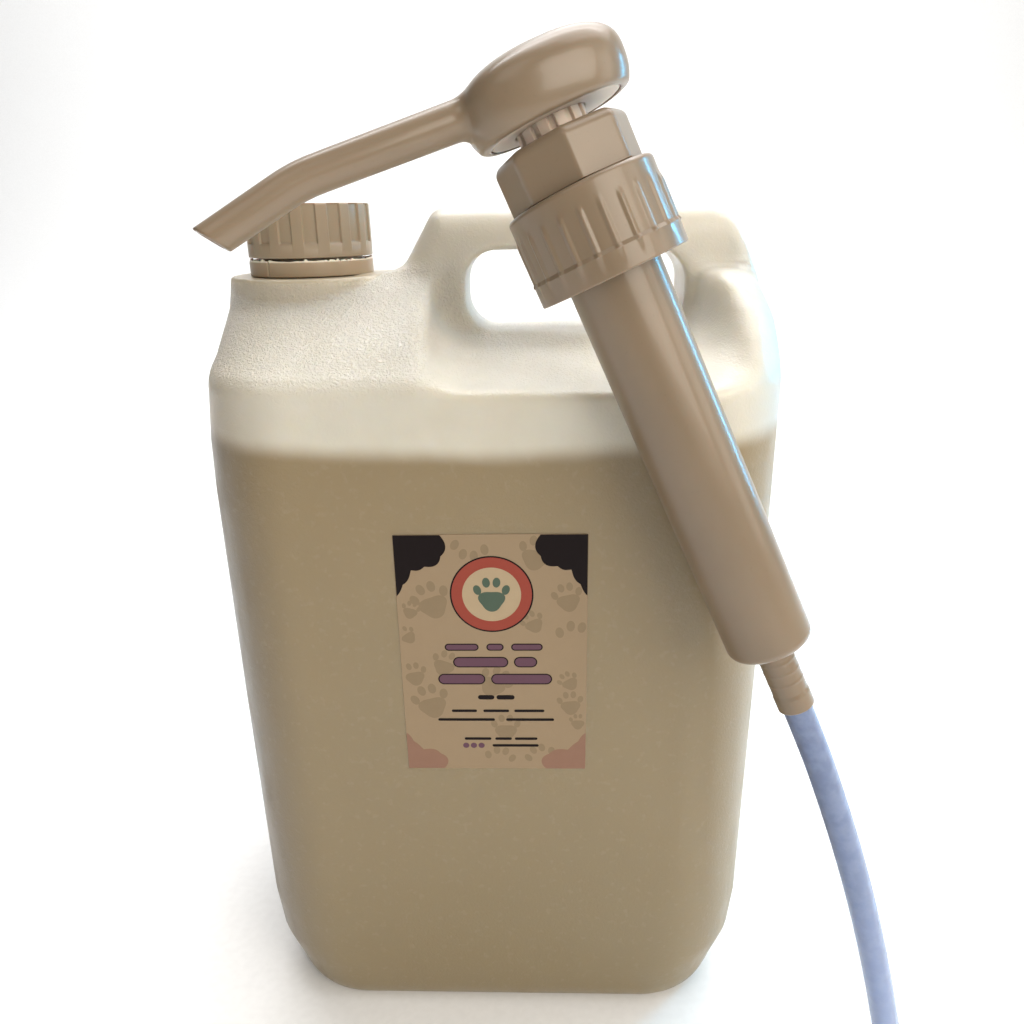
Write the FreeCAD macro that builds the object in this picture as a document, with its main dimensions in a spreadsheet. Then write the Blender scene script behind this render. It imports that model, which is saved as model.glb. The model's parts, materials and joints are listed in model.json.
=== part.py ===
"""A five litre jerrycan of pet conditioner with its screw cap, and the 38 mm dispensing pump that stands
leaning against its front.

Frame: +Z up, +X to the right across the wide front, -Y towards the viewer. The origin is the middle of
the can's base. Everything is in millimetres. The can's pieces are drawn in that frame. The pump's pieces
are drawn upright in a frame of their own, with the origin at the lower end of the tube connector, +Z up
the pump and +X along the spout, and each one is then placed on the leaning pump.
"""
import FreeCAD, Part
import math
import os
import re

import Sketcher
from FreeCAD import Placement, Rotation, Vector

# ------------------------------------------------------------------------- driving dimensions
SIZES = {
    # can
    "can_width": 186.0,
    "can_depth": 130.0,
    "can_corner": 32.0,
    "can_wall": 1.6,
    "crease_level": 240.0,
    "platform_level": 269.5,
    "platform_rim": 3.0,
    "platform_radius": 28.0,
    "foot_inset": 10.0,
    "foot_rise": 25.0,
    "foot_round": 8.0,
    "front_inset": 5.0,
    "front_rise": 9.0,
    "grip_level": 290.4,
    "grip_thickness": 26.0,
    "grip_hole_left": -9.0,
    "grip_hole_right": 66.0,
    "grip_hole_bottom": 250.5,
    "grip_hole_top": 277.0,
    "grip_hole_round": 9.0,
    "grip_round": 9.0,
    "shelf_start": -20.0,
    "shoulder_end": -4.0,
    "fill_level": 222.0,
    "fill_gap": 0.3,
    "label_width": 60.5,
    "label_height": 86.0,
    "label_thickness": 0.2,
    "label_middle": 153.0,
    # 38 mm neck finish, shared by the can and the pump's closure
    "neck_offset": -63.5,
    "neck_bore": 15.9,
    "neck_radius": 17.75,
    "neck_crest": 18.75,
    "neck_level": 289.9,
    "thread_pitch": 4.233,
    "thread_turns": 1.25,
    "neck_thread_level": 281.5,
    "bead_radius": 18.4,
    "bead_level": 273.6,
    "bead_height": 1.2,
    # cap and tamper-evident band, heights from the can's base
    "cap_radius": 21.2,
    "cap_core": 20.5,
    "cap_bore": 19.05,
    "cap_crest": 18.0,
    "cap_rim": 275.8,
    "cap_ceiling": 291.3,
    "cap_crown": 292.8,
    "cap_round": 1.0,
    "cap_ribs": 16,
    "cap_rib_half": 2.05,
    "rib_foot": 280.2,
    "rib_crown": 291.6,
    "liner_radius": 18.7,
    "liner_base": 290.0,
    "liner_crown": 291.2,
    "band_base": 269.8,
    "band_crown": 275.0,
    "band_bridge": 0.7,
    "bridge_half": 0.5,
    "bridges": 8,
    "band_bore": 19.05,
    "band_lip": 18.3,
    "band_lip_crown": 271.6,
    # pump, heights from the lower end of the tube connector
    "tube_radius": 4.4,
    "tube_seat": 8.0,
    "connector_bore": 4.45,
    "connector_mouth": 5.35,
    "connector_shank": 5.0,
    "connector_length": 20.6,
    "spigot_radius": 3.55,
    "spigot_bore": 3.6,
    "spigot_foot": 10.0,
    "inlet_hole": 1.9,
    "seat_foot": 20.3,
    "seat_rise": 2.1,
    "ball_chamber": 4.0,
    "inlet_ball_radius": 3.3,
    "barrel_foot": 21.2,
    "barrel_floor": 23.2,
    "barrel_radius": 12.7,
    "barrel_bore": 11.3,
    "boss_radius": 5.6,
    "boss_crown": 29.0,
    "cage_crown": 30.2,
    "flange_foot": 155.2,
    "flange_crown": 156.9,
    "flange_radius": 18.7,
    "collar_crown": 169.8,
    "gasket_foot": 153.4,
    "gasket_bore": 12.9,
    "gasket_radius": 18.4,
    "closure_rim": 135.6,
    "closure_band": 141.3,
    "closure_shoulder": 155.4,
    "closure_crown": 159.1,
    "closure_ceiling": 157.3,
    "closure_radius": 20.4,
    "closure_core": 19.95,
    "closure_hole": 13.1,
    "closure_ribs": 24,
    "closure_rib_half": 1.1,
    "closure_thread_level": 138.2,
    "nut_foot": 159.4,
    "nut_crown": 172.3,
    "nut_flats": 33.6,
    "nut_round": 2.4,
    "nut_socket": 12.75,
    "nut_ceiling": 170.0,
    "nut_sleeve": 11.2,
    "nut_sleeve_foot": 160.8,
    "nut_guide_crown": 162.6,
    "nut_guide_bore": 6.35,
    "nut_bore": 9.8,
    "wiper_bore": 6.28,
    "wiper_radius": 9.7,
    "wiper_crown": 164.4,
    "piston_foot": 75.0,
    "piston_crown": 87.0,
    "piston_radius": 10.9,
    "piston_socket": 6.25,
    "piston_web": 78.0,
    "piston_hole": 3.5,
    "seal_foot": 79.0,
    "seal_crown": 83.0,
    "seal_root": 9.6,
    "seal_radius": 11.22,
    "stem_radius": 6.2,
    "stem_bore": 4.2,
    "stem_foot": 78.1,
    "stem_crown": 181.0,
    "outlet_seat_foot": 170.9,
    "outlet_seat_cone": 172.2,
    "outlet_seat_crown": 174.0,
    "outlet_seat_hole": 1.5,
    "outlet_seat_mouth": 3.3,
    "outlet_ball_radius": 2.6,
    "valve_gap": 0.05,
    "sleeve_foot": 165.0,
    "sleeve_crown": 179.0,
    "sleeve_radius": 9.3,
    "sleeve_bore": 6.4,
    "sleeve_ribs": 12,
    "sleeve_rib_half": 0.8,
    "spring_wire": 0.7,
    "spring_coil": 8.3,
    "spring_pitch": 2.5,
    "spring_foot": 24.0,
    "spring_turns": 20,
    "head_foot": 176.2,
    "head_axis": 179.6,
    "head_wall": 2.0,
    "head_base_thickness": 1.4,
    "head_socket": 6.25,
    "chamber_bore": 4.2,
    "chamber_crown": 187.6,
    "head_boss": 9.4,
    "spout_bore": 2.9,
    "spout_root_radius": 4.8,
    "spout_bend_radius": 4.25,
    "spout_tip_radius": 4.1,
    "spout_bend_reach": 63.0,
    "spout_bend_level": 188.4,
    "spout_tip_reach": 88.2,
    "spout_tip_level": 184.4,
    "spout_root_level": 184.4,
    "spout_cut": 34.0,
    "spout_swing": 12.0,
    "ball_stop_radius": 1.2,
    "ball_stop_foot": 179.1,
}

# The dip tube's route, from inside the connector down to its cut end on the table. Its first run is also
# the pump's own axis.
TUBE_ROUTE = [
    (88.4, -86.0, 156.7),
    (97.4, -87.8, 136.8),
    (105.9, -89.4, 114.6),
    (113.6, -90.7, 92.6),
    (120.6, -91.6, 70.0),
    (126.9, -92.1, 47.2),
    (132.6, -92.3, 24.0),
    (137.9, -92.3, 1.4),
]
ARC_SHARE = 0.45

# The grip's outline seen from the front: how far across, how high, and the corner's radius.
GRIP_OUTLINE = [
    ("-38", "crease_level - 4", "0"),
    ("can_width - 93", "crease_level - 4", "0"),
    ("can_width - 93", "246", "12"),
    ("88.5", "268", "20"),
    ("75", "grip_level", "10"),
    ("-20", "grip_level", "8"),
    ("-34", "264", "2"),
]

# The pump head's half outline, from its back end to its spout end: reach from the stem's axis, and radius
# about the head's own level axis. Both ends are small flat discs.
HEAD_OUTLINE = [
    (-23.5, 4.5), (-21.8, 9.6), (-17.2, 14.2), (-10.0, 16.4), (-2.0, 16.7), (9.0, 15.8), (17.5, 12.4),
    (22.4, 7.6), (24.2, 4.0),
]

doc = FreeCAD.newDocument("jerrycan_and_pump")
sheet = doc.addObject("Spreadsheet::Sheet", "Sizes")
for row, (alias, value) in enumerate(SIZES.items(), start=1):
    sheet.set(f"A{row}", alias)
    sheet.set(f"B{row}", str(value))
    sheet.setAlias(f"B{row}", alias)
doc.recompute()


def size(alias):
    """One driving dimension, read from the sheet."""
    return float(getattr(sheet, alias))


def signed_terms(text):
    """Splits a sum such as 'stem_radius - 0.2' into its sign and word pairs."""
    return [(-1 if sign == "-" else 1, word) for sign, word in re.findall(r"([+-]?)\s*([\w.]+)", text)]


def total(text):
    """The value of a sum of sheet aliases and plain numbers."""
    return sum(sign * (size(word) if word in SIZES else float(word)) for sign, word in signed_terms(text))


def bound(text):
    """The same sum as an expression that follows the sheet."""
    words = [("-" if sign < 0 else "+") + (f"Sizes.{word}" if word in SIZES else word)
             for sign, word in signed_terms(text)]
    return "".join(words).lstrip("+")


# ------------------------------------------------------------------------------------ places
route = [Vector(*point) for point in TUBE_ROUTE]
pump_axis = (route[0] - route[1]).normalize()
pump_foot = route[0] - pump_axis * size("tube_seat")
swing = math.radians(size("spout_swing"))
spout_heading = Vector(-math.cos(swing), -math.sin(swing), 0)
PUMP = Placement(pump_foot, Rotation(spout_heading, Vector(), pump_axis, "ZXY"))
CAN = Placement()
NECK = Placement(Vector(size("neck_offset"), 0, 0), Rotation())

nodes = {}


def keep(name, piece, place):
    """Registers a finished sub-part under its node name and puts it in its place."""
    piece.Label = name
    piece.Placement = place
    nodes[name] = piece
    return piece


# ----------------------------------------------------------------------------- sketching tools
def plane_of(body, role):
    return next(item for item in body.Origin.OriginFeatures if item.Role == role)


def bind_corner(sketch, corner, place):
    """Holds one corner of a sketch at a pair of sums of the sheet's aliases."""
    for kind, axis, text in (("DistanceX", -2, place[0]), ("DistanceY", -1, place[1])):
        if text == "0":
            sketch.addConstraint(Sketcher.Constraint("PointOnObject", corner, 1, axis))
            continue
        index = sketch.addConstraint(Sketcher.Constraint(kind, -1, 1, corner, 1, total(text)))
        sketch.setExpression(f"Constraints[{index}]", bound(text))


def bound_outline(body, name, role, corners):
    """A closed polygon sketch on one of the body's own planes, its corners bound to the sheet."""
    sketch = body.newObject("Sketcher::SketchObject", name)
    sketch.AttachmentSupport = (plane_of(body, role), [""])
    sketch.MapMode = "FlatFace"
    points = [Vector(total(a), total(b), 0) for a, b in corners]
    count = len(points)
    for index, point in enumerate(points):
        sketch.addGeometry(Part.LineSegment(point, points[(index + 1) % count]), False)
    for index in range(count):
        sketch.addConstraint(Sketcher.Constraint("Coincident", index, 2, (index + 1) % count, 1))
    for index, place in enumerate(corners):
        bind_corner(sketch, index, place)
    return sketch


def turned(name, profile, feature="PartDesign::Revolution", body=None):
    """A body turned about Z from a closed profile of (radius, height) corners."""
    body = body or doc.addObject("PartDesign::Body", name + "_body")
    sketch = bound_outline(body, f"{name}_{feature[12:16].lower()}_profile", "XZ_Plane", profile)
    turn = body.newObject(feature, f"{name}_{feature[12:].lower()}")
    turn.Profile = sketch
    turn.ReferenceAxis = (sketch, ["V_Axis"])
    turn.Angle = 360
    sketch.Visibility = False
    doc.recompute()
    return body


def ribbed(body, name, core, crest, width, foot, crown, count):
    """Adds evenly spaced upright ribs round a turned body."""
    sketch = bound_outline(body, name + "_rib_outline", "XY_Plane", [
        (f"{core} - 0.4", f"-{width}"),
        (crest, f"-{width}"),
        (crest, width),
        (f"{core} - 0.4", width)])
    sketch.setExpression("AttachmentOffset.Base.z", bound(foot))
    pad = body.newObject("PartDesign::Pad", name + "_rib")
    pad.Profile = sketch
    pad.setExpression("Length", f"({bound(crown)}) - ({bound(foot)})")
    doc.recompute()
    pattern = body.newObject("PartDesign::PolarPattern", name + "_ribs")
    pattern.Originals = [pad]
    pattern.Axis = (plane_of(body, "Z_Axis"), [""])
    pattern.Angle = 360
    pattern.setExpression("Occurrences", bound(count))
    body.Tip = pattern
    doc.recompute()


def moved_inwards(corners, inset):
    """The same corners after every side of the outline has moved inwards by the inset."""
    count = len(corners)
    sides = []
    for index, (a, b, _) in enumerate(corners):
        ahead = Vector(*corners[(index + 1) % count][:2], 0) - Vector(a, b, 0)
        ahead.normalize()
        inward = Vector(-ahead.y, ahead.x, 0)
        sides.append((Vector(a, b, 0) + inward * inset, ahead))
    moved = []
    for index, (_, _, radius) in enumerate(corners):
        (start, back), (end, ahead) = sides[index - 1], sides[index]
        turn = back.x * ahead.y - back.y * ahead.x
        along = ((end.x - start.x) * ahead.y - (end.y - start.y) * ahead.x) / turn
        corner = start + back * along
        moved.append((corner.x, corner.y, max(radius - math.copysign(inset, turn), 0)))
    return moved


def rounded_outline(corners, to_space):
    """A closed wire through (a, b, radius) corners, each one rounded by a tangent arc."""
    edges = []
    last = None
    first = None
    count = len(corners)
    for index, (a, b, radius) in enumerate(corners):
        here = Vector(a, b, 0)
        back = Vector(*corners[index - 1][:2], 0) - here
        ahead = Vector(*corners[(index + 1) % count][:2], 0) - here
        half = back.getAngle(ahead) / 2
        reach = radius / math.tan(half)
        enter = here + back.normalize() * reach
        leave = here + ahead.normalize() * reach
        if last is not None:
            edges.append(Part.LineSegment(to_space(last), to_space(enter)).toShape())
        else:
            first = enter
        if radius > 0:
            inward = (back + ahead).normalize()
            middle = here + inward * (radius / math.sin(half) - radius)
            edges.append(Part.Arc(to_space(enter), to_space(middle), to_space(leave)).toShape())
        last = leave
    edges.append(Part.LineSegment(to_space(last), to_space(first)).toShape())
    return Part.Wire(edges)


def on_front(point):
    return Vector(point.x, 0, point.y)


def on_side(point):
    return Vector(0, point.x, point.y)


def slab(wire, direction):
    """A solid that runs the wire's face equally far both ways along a direction."""
    solid = Part.Face(wire).extrude(direction * 2)
    solid.translate(direction * -1)
    return solid


def thread(root, crest, level):
    """One trapezoid thread ridge, wound up the Z axis from a root radius to a crest radius."""
    pitch = size("thread_pitch")
    foot, top = 0.8, 0.45
    helix = Part.makeHelix(pitch, pitch * size("thread_turns"), min(root, crest))
    profile = Part.makePolygon([Vector(root, 0, -foot), Vector(crest, 0, -top), Vector(crest, 0, top),
                                Vector(root, 0, foot), Vector(root, 0, -foot)])
    ridge = Part.Wire(helix.Edges).makePipeShell([profile], True, True)
    ridge.translate(Vector(0, 0, level))
    return ridge


# ------------------------------------------------------------------------------------- the can
FAR = 400.0


def can_envelope(inset):
    """The can's outer form, or the same form with every face moved inwards by the inset."""
    half_width = size("can_width") / 2
    half_depth = size("can_depth") / 2
    corner = size("can_corner") - inset
    crease = size("crease_level") - inset
    rim = size("platform_level") - size("platform_rim") - inset
    side, front = half_width - inset, half_depth - inset
    plan = [(-side, -front, corner), (side, -front, corner), (side, front, corner), (-side, front, corner)]

    def on_level(level):
        return lambda point: Vector(point.x, point.y, level)

    tower = Part.Face(rounded_outline(plan, on_level(0))).extrude(Vector(0, 0, FAR))
    soft, spread = size("foot_round"), 4.0
    for half, step, rise, axes, direction in (
            (half_width, size("foot_inset"), size("foot_rise"), on_front, Vector(0, FAR, 0)),
            (half_depth, size("front_inset"), size("front_rise"), on_side, Vector(FAR, 0, 0))):
        edge = half + spread * step
        level = rise * (1 + spread)
        flare = [(-(half - step), 0, soft), (half - step, 0, soft), (edge, level, 0), (edge, FAR, 0),
                 (-edge, FAR, 0), (-edge, level, 0)]
        tower = tower.common(slab(rounded_outline(moved_inwards(flare, inset), axes), direction))
    body = tower.common(Part.makeBox(FAR, FAR, crease, Vector(-FAR / 2, -FAR / 2, 0)))

    # The neck's shoulder falls from the round platform to the can's full depth.
    neck = size("neck_offset")
    shoulder_end = size("shoulder_end") - inset
    skirt = [(-side, -front, corner), (shoulder_end, -front, corner / 2),
             (shoulder_end, front, corner / 2), (-side, front, corner)]
    low = rounded_outline(skirt, on_level(crease))
    round_top = size("platform_radius") - inset
    high = Part.Wire(Part.makeCircle(round_top, Vector(neck, 0, rim)))
    shoulder = Part.makeLoft([low, high], True, True)
    platform = Part.makeCylinder(round_top, size("platform_rim"), Vector(neck, 0, rim))

    # Under the grip, a shallow shelf rises from the front and back creases to the grip's foot.
    grip_half = size("grip_thickness") / 2 - inset
    shelf_level = size("grip_hole_bottom") - inset
    shelf_view = rounded_outline([(-front, crease, 0), (front, crease, 0), (grip_half, shelf_level, 0),
                                  (-grip_half, shelf_level, 0)], on_side)
    shelf = slab(shelf_view, Vector(FAR, 0, 0)).common(tower)
    start = size("shelf_start")
    shelf = shelf.common(Part.makeBox(half_width - start, FAR, FAR, Vector(start, -FAR / 2, 0)))

    # The grip is a thick web with a hand hole through it.
    top = size("grip_level") - inset
    grip_outline = [tuple(total(text) for text in corner) for corner in GRIP_OUTLINE]
    web_view = rounded_outline(moved_inwards(grip_outline, inset), on_front)
    left, right = size("grip_hole_left"), size("grip_hole_right")
    low_edge, high_edge = size("grip_hole_bottom"), size("grip_hole_top")
    bend = size("grip_hole_round")
    hole_corners = [(left, low_edge, bend), (right, low_edge, bend), (right, high_edge, bend),
                    (left, high_edge, bend)]
    hole_view = rounded_outline(moved_inwards(hole_corners, -inset), on_front)
    web = slab(web_view, Vector(0, grip_half, 0)).cut(slab(hole_view, Vector(0, FAR, 0)))
    soft_top = size("grip_round") - inset
    loaf = rounded_outline([(-grip_half, 0, 0), (grip_half, 0, 0), (grip_half, top, soft_top),
                            (-grip_half, top, soft_top)], on_side)
    web = web.common(slab(loaf, Vector(FAR, 0, 0)))
    whole = body.fuse([shoulder, platform, shelf, web])
    return whole.cut(slab(hole_view, Vector(0, FAR, 0))).removeSplitter()


def make_can():
    outer = can_envelope(0)
    inner = can_envelope(size("can_wall"))
    level = size("platform_level")
    mouth = Part.makeCylinder(size("neck_bore"), 10, Vector(size("neck_offset"), 0, level - 5))
    piece = doc.addObject("Part::Feature", "can_body")
    piece.Shape = outer.cut(inner).cut(mouth)
    keep("can_body", piece, CAN)


def make_neck():
    """The threaded neck finish, moulded on the platform and kept apart from the shell as its own node."""
    body = turned("neck_finish", [
        ("neck_bore", "platform_level"), ("neck_radius", "platform_level"), ("neck_radius", "bead_level"),
        ("bead_radius", "bead_level"), ("bead_radius", "bead_level + bead_height"),
        ("neck_radius", "bead_level + bead_height"), ("neck_radius", "neck_level - 0.4"),
        ("neck_radius - 0.4", "neck_level"), ("neck_bore", "neck_level")])
    ridge = doc.addObject("Part::Feature", "neck_thread")
    ridge.Shape = thread(size("neck_radius") - 0.2, size("neck_crest"), size("neck_thread_level"))
    neck = doc.addObject("Part::Fuse", "threaded_neck")
    neck.Base = body
    neck.Tool = ridge
    keep("threaded_neck", neck, NECK)


def make_fill():
    inset = size("can_wall") + size("fill_gap")
    pool = can_envelope(inset).common(Part.makeBox(FAR, FAR, size("fill_level"),
                                                   Vector(-FAR / 2, -FAR / 2, 0)))
    piece = doc.addObject("Part::Feature", "conditioner_fill")
    piece.Shape = pool
    keep("conditioner_fill", piece, CAN)


def make_label():
    label = doc.addObject("Part::Box", "front_label")
    label.setExpression("Length", bound("label_width"))
    label.setExpression("Width", bound("label_thickness"))
    label.setExpression("Height", bound("label_height"))
    keep("front_label", label, Placement(Vector(
        -size("label_width") / 2 + 0.5, -size("can_depth") / 2 - size("label_thickness"),
        size("label_middle") - size("label_height") / 2), Rotation()))


# ------------------------------------------------------------------- cap, liner and tamper band
def make_cap():
    body = turned("cap_shell", [
        ("0", "cap_ceiling"), ("cap_bore", "cap_ceiling"), ("cap_bore", "cap_rim"),
        ("cap_radius", "cap_rim"), ("cap_radius", "rib_foot"), ("cap_core", "rib_foot + 0.7"),
        ("cap_core", "cap_crown - cap_round"), ("cap_core - cap_round", "cap_crown"), ("0", "cap_crown")])
    ribbed(body, "cap", "cap_core", "cap_radius", "cap_rib_half", "rib_foot", "rib_crown", "cap_ribs")
    middle = size("neck_thread_level") - size("thread_pitch") / 2
    ridge = doc.addObject("Part::Feature", "cap_thread")
    ridge.Shape = thread(size("cap_bore") + 0.2, size("cap_crest"), middle)
    cap = doc.addObject("Part::Fuse", "cap")
    cap.Base = body
    cap.Tool = ridge
    keep("cap", cap, NECK)


def make_liner():
    liner = doc.addObject("Part::Cylinder", "cap_liner")
    liner.setExpression("Radius", bound("liner_radius"))
    liner.setExpression("Height", bound("liner_crown - liner_base"))
    keep("cap_liner", liner, NECK.multiply(Placement(Vector(0, 0, size("liner_base")), Rotation())))


def make_band():
    body = turned("tamper_band", [
        ("band_lip", "band_base"), ("cap_radius", "band_base"), ("cap_radius", "band_crown"),
        ("band_bore", "band_crown"), ("band_bore", "band_lip_crown"), ("band_lip", "band_lip_crown")])
    ribbed(body, "bridge", "cap_core", "cap_radius", "bridge_half", "band_crown - 1",
           "band_crown + band_bridge", "bridges")
    keep("tamper_band", body, NECK)


# ------------------------------------------------------------------------------- pump, outside
def make_tube():
    """The dip tube: straight runs joined by tangent arcs that are as large as the runs allow."""
    edges = []
    start = route[0]
    radii = []
    for before, corner, after in zip(route, route[1:], route[2:]):
        back, ahead = before - corner, after - corner
        turn = math.pi - back.getAngle(ahead)
        reach = ARC_SHARE * min(back.Length, ahead.Length)
        radius = reach / math.tan(turn / 2)
        radii.append(round(radius, 1))
        back.normalize()
        ahead.normalize()
        enter, leave = corner + back * reach, corner + ahead * reach
        inward = (back + ahead).normalize()
        middle = corner + inward * (radius / math.cos(turn / 2) - radius)
        edges.append(Part.LineSegment(start, enter).toShape())
        edges.append(Part.Arc(enter, middle, leave).toShape())
        start = leave
    edges.append(Part.LineSegment(start, route[-1]).toShape())
    path = Part.Wire(edges)
    radius = size("tube_radius")
    ring = Part.Wire(Part.makeCircle(radius, route[0], route[1] - route[0]))
    solid = path.makePipeShell([ring], True, False)
    print("dip tube: length", round(path.Length, 1), "bend radii", radii)
    print("dip tube: volume over section times length",
          round(solid.Volume / (math.pi * radius ** 2 * path.Length), 4))
    piece = doc.addObject("Part::Feature", "dip_tube")
    piece.Shape = solid
    keep("dip_tube", piece, CAN)


def make_connector():
    body = turned("tube_connector", [
        ("connector_bore", "0"), ("connector_mouth - 0.5", "0"), ("connector_mouth", "0.8"),
        ("connector_mouth", "tube_seat"), ("connector_shank", "connector_length"),
        ("spigot_bore", "connector_length"), ("spigot_bore", "tube_seat + 0.1"),
        ("connector_bore", "tube_seat + 0.1")])
    keep("tube_connector", body, PUMP)


def make_barrel():
    body = turned("barrel", [
        ("inlet_hole", "spigot_foot"), ("spigot_radius", "spigot_foot"), ("spigot_radius", "barrel_foot"),
        ("barrel_radius - 5.6", "barrel_foot"), ("barrel_radius - 2.9", "barrel_foot + 1.2"),
        ("barrel_radius - 1", "barrel_foot + 3.4"), ("barrel_radius", "barrel_foot + 6.6"),
        ("barrel_radius", "flange_foot"), ("flange_radius", "flange_foot"),
        ("flange_radius", "flange_crown"), ("barrel_radius", "flange_crown"),
        ("barrel_radius", "collar_crown"), ("barrel_bore", "collar_crown"),
        ("barrel_bore", "barrel_floor + 4.4"), ("barrel_bore - 1.7", "barrel_floor"),
        ("boss_radius", "barrel_floor"), ("boss_radius", "boss_crown"), ("ball_chamber", "boss_crown"),
        ("ball_chamber", "seat_foot + seat_rise"), ("inlet_hole", "seat_foot")])
    keep("barrel", body, PUMP)


def make_gasket():
    body = turned("neck_gasket", [
        ("gasket_bore", "gasket_foot"), ("gasket_radius", "gasket_foot"),
        ("gasket_radius", "flange_foot - 0.05"), ("gasket_bore", "flange_foot - 0.05")])
    keep("neck_gasket", body, PUMP)


def make_closure():
    body = turned("closure_shell", [
        ("closure_hole", "closure_ceiling"), ("cap_bore", "closure_ceiling"), ("cap_bore", "closure_rim"),
        ("closure_radius", "closure_rim"), ("closure_radius", "closure_band"),
        ("closure_core", "closure_band + 0.45"), ("closure_core", "closure_shoulder"),
        ("closure_core - 1.1", "closure_shoulder + 2.4"), ("closure_core - 3.6", "closure_crown"),
        ("closure_hole", "closure_crown")])
    ribbed(body, "closure", "closure_core", "closure_radius", "closure_rib_half", "closure_band",
           "closure_shoulder - 0.6", "closure_ribs")
    ridge = doc.addObject("Part::Feature", "closure_thread")
    ridge.Shape = thread(size("cap_bore") + 0.2, size("cap_crest"), size("closure_thread_level"))
    closure = doc.addObject("Part::Fuse", "closure")
    closure.Base = body
    closure.Tool = ridge
    keep("closure", closure, PUMP)


def make_nut():
    body = doc.addObject("PartDesign::Body", "guide_nut_body")
    across = size("nut_flats") / 2 / math.cos(math.pi / 8)
    sketch = body.newObject("Sketcher::SketchObject", "nut_outline")
    sketch.AttachmentSupport = (plane_of(body, "XY_Plane"), [""])
    sketch.MapMode = "FlatFace"
    sketch.setExpression("AttachmentOffset.Base.z", bound("nut_foot"))
    corners = [Vector(across * math.cos(turn), across * math.sin(turn), 0)
               for turn in (math.pi * (2 * index + 1) / 8 for index in range(8))]
    for index, corner in enumerate(corners):
        sketch.addGeometry(Part.LineSegment(corner, corners[(index + 1) % 8]), False)
    for index in range(8):
        sketch.addConstraint(Sketcher.Constraint("Coincident", index, 2, (index + 1) % 8, 1))
    pad = body.newObject("PartDesign::Pad", "nut_block")
    pad.Profile = sketch
    pad.setExpression("Length", bound("nut_crown - nut_foot"))
    doc.recompute()
    upright = [f"Edge{index + 1}" for index, edge in enumerate(pad.Shape.Edges)
               if abs(edge.Vertexes[0].Z - edge.Vertexes[1].Z) > 1]
    soft = body.newObject("PartDesign::Fillet", "nut_corners")
    soft.Base = (pad, upright)
    soft.setExpression("Radius", bound("nut_round"))
    doc.recompute()
    crown = size("nut_crown")
    top = [f"Edge{index + 1}" for index, edge in enumerate(soft.Shape.Edges)
           if min(vertex.Z for vertex in edge.Vertexes) > crown - 0.01]
    crown_edge = body.newObject("PartDesign::Fillet", "nut_crown_edge")
    crown_edge.Base = (soft, top)
    crown_edge.setExpression("Radius", bound("nut_round - 0.4"))
    doc.recompute()
    solid_volume = crown_edge.Shape.Volume
    turned("guide_nut", [
        ("0", "nut_foot - 1"), ("nut_socket", "nut_foot - 1"), ("nut_socket", "nut_ceiling"),
        ("nut_sleeve", "nut_ceiling"), ("nut_sleeve", "nut_sleeve_foot"),
        ("nut_guide_bore", "nut_sleeve_foot"), ("nut_guide_bore", "nut_guide_crown"),
        ("nut_bore", "nut_guide_crown"), ("nut_bore", "nut_crown + 1"), ("0", "nut_crown + 1")],
        "PartDesign::Groove", body)
    assert body.Shape.Volume < 0.8 * solid_volume, "the nut's bores cut nothing"
    keep("guide_nut", body, PUMP)


# -------------------------------------------------------------------------------- pump, inside
def make_wiper():
    body = turned("stem_wiper", [
        ("wiper_bore", "nut_guide_crown + 0.05"), ("wiper_radius", "nut_guide_crown + 0.05"),
        ("wiper_radius", "wiper_crown"), ("wiper_bore + 0.8", "wiper_crown"),
        ("wiper_bore", "wiper_crown - 0.7")])
    keep("stem_wiper", body, PUMP)


def make_cage():
    """A perforated disc on the valve boss, which keeps the inlet ball in its chamber."""
    body = turned("inlet_cage", [
        ("0", "boss_crown"), ("boss_radius", "boss_crown"), ("boss_radius", "cage_crown"),
        ("0", "cage_crown")])
    sketch = bound_outline(body, "cage_slot_outline", "XY_Plane", [
        ("1.7", "-0.9"), ("4.2", "-0.9"), ("4.2", "0.9"), ("1.7", "0.9")])
    sketch.setExpression("AttachmentOffset.Base.z", bound("boss_crown - 0.5"))
    slot = body.newObject("PartDesign::Pocket", "cage_slot")
    slot.Profile = sketch
    slot.setExpression("Length", bound("cage_crown - boss_crown + 1"))
    slot.Reversed = True
    doc.recompute()
    whole = math.pi * size("boss_radius") ** 2 * (size("cage_crown") - size("boss_crown"))
    pattern = body.newObject("PartDesign::PolarPattern", "cage_slots")
    pattern.Originals = [slot]
    pattern.Axis = (plane_of(body, "Z_Axis"), [""])
    pattern.Angle = 360
    pattern.Occurrences = 4
    body.Tip = pattern
    doc.recompute()
    assert body.Shape.Volume < 0.85 * whole, "the cage's slots cut nothing"
    keep("inlet_cage", body, PUMP)


def make_ball(name, radius, cone_foot, cone_radius):
    """A valve ball that rests, with a hair's gap, in a seat coned at 45 degrees."""
    ball = doc.addObject("Part::Sphere", name)
    ball.setExpression("Radius", bound(radius))
    level = size(cone_foot) - size(cone_radius) + size(radius) * math.sqrt(2) + size("valve_gap")
    keep(name, ball, PUMP.multiply(Placement(Vector(0, 0, level), Rotation())))


def make_piston():
    body = turned("piston", [
        ("piston_hole", "piston_foot"), ("piston_radius - 0.8", "piston_foot"),
        ("piston_radius", "piston_foot + 0.8"), ("piston_radius", "seal_foot"), ("seal_root", "seal_foot"),
        ("seal_root", "seal_crown"), ("piston_radius", "seal_crown"), ("piston_radius", "piston_crown"),
        ("piston_socket", "piston_crown"), ("piston_socket", "piston_web"), ("piston_hole", "piston_web")])
    keep("piston", body, PUMP)


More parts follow.
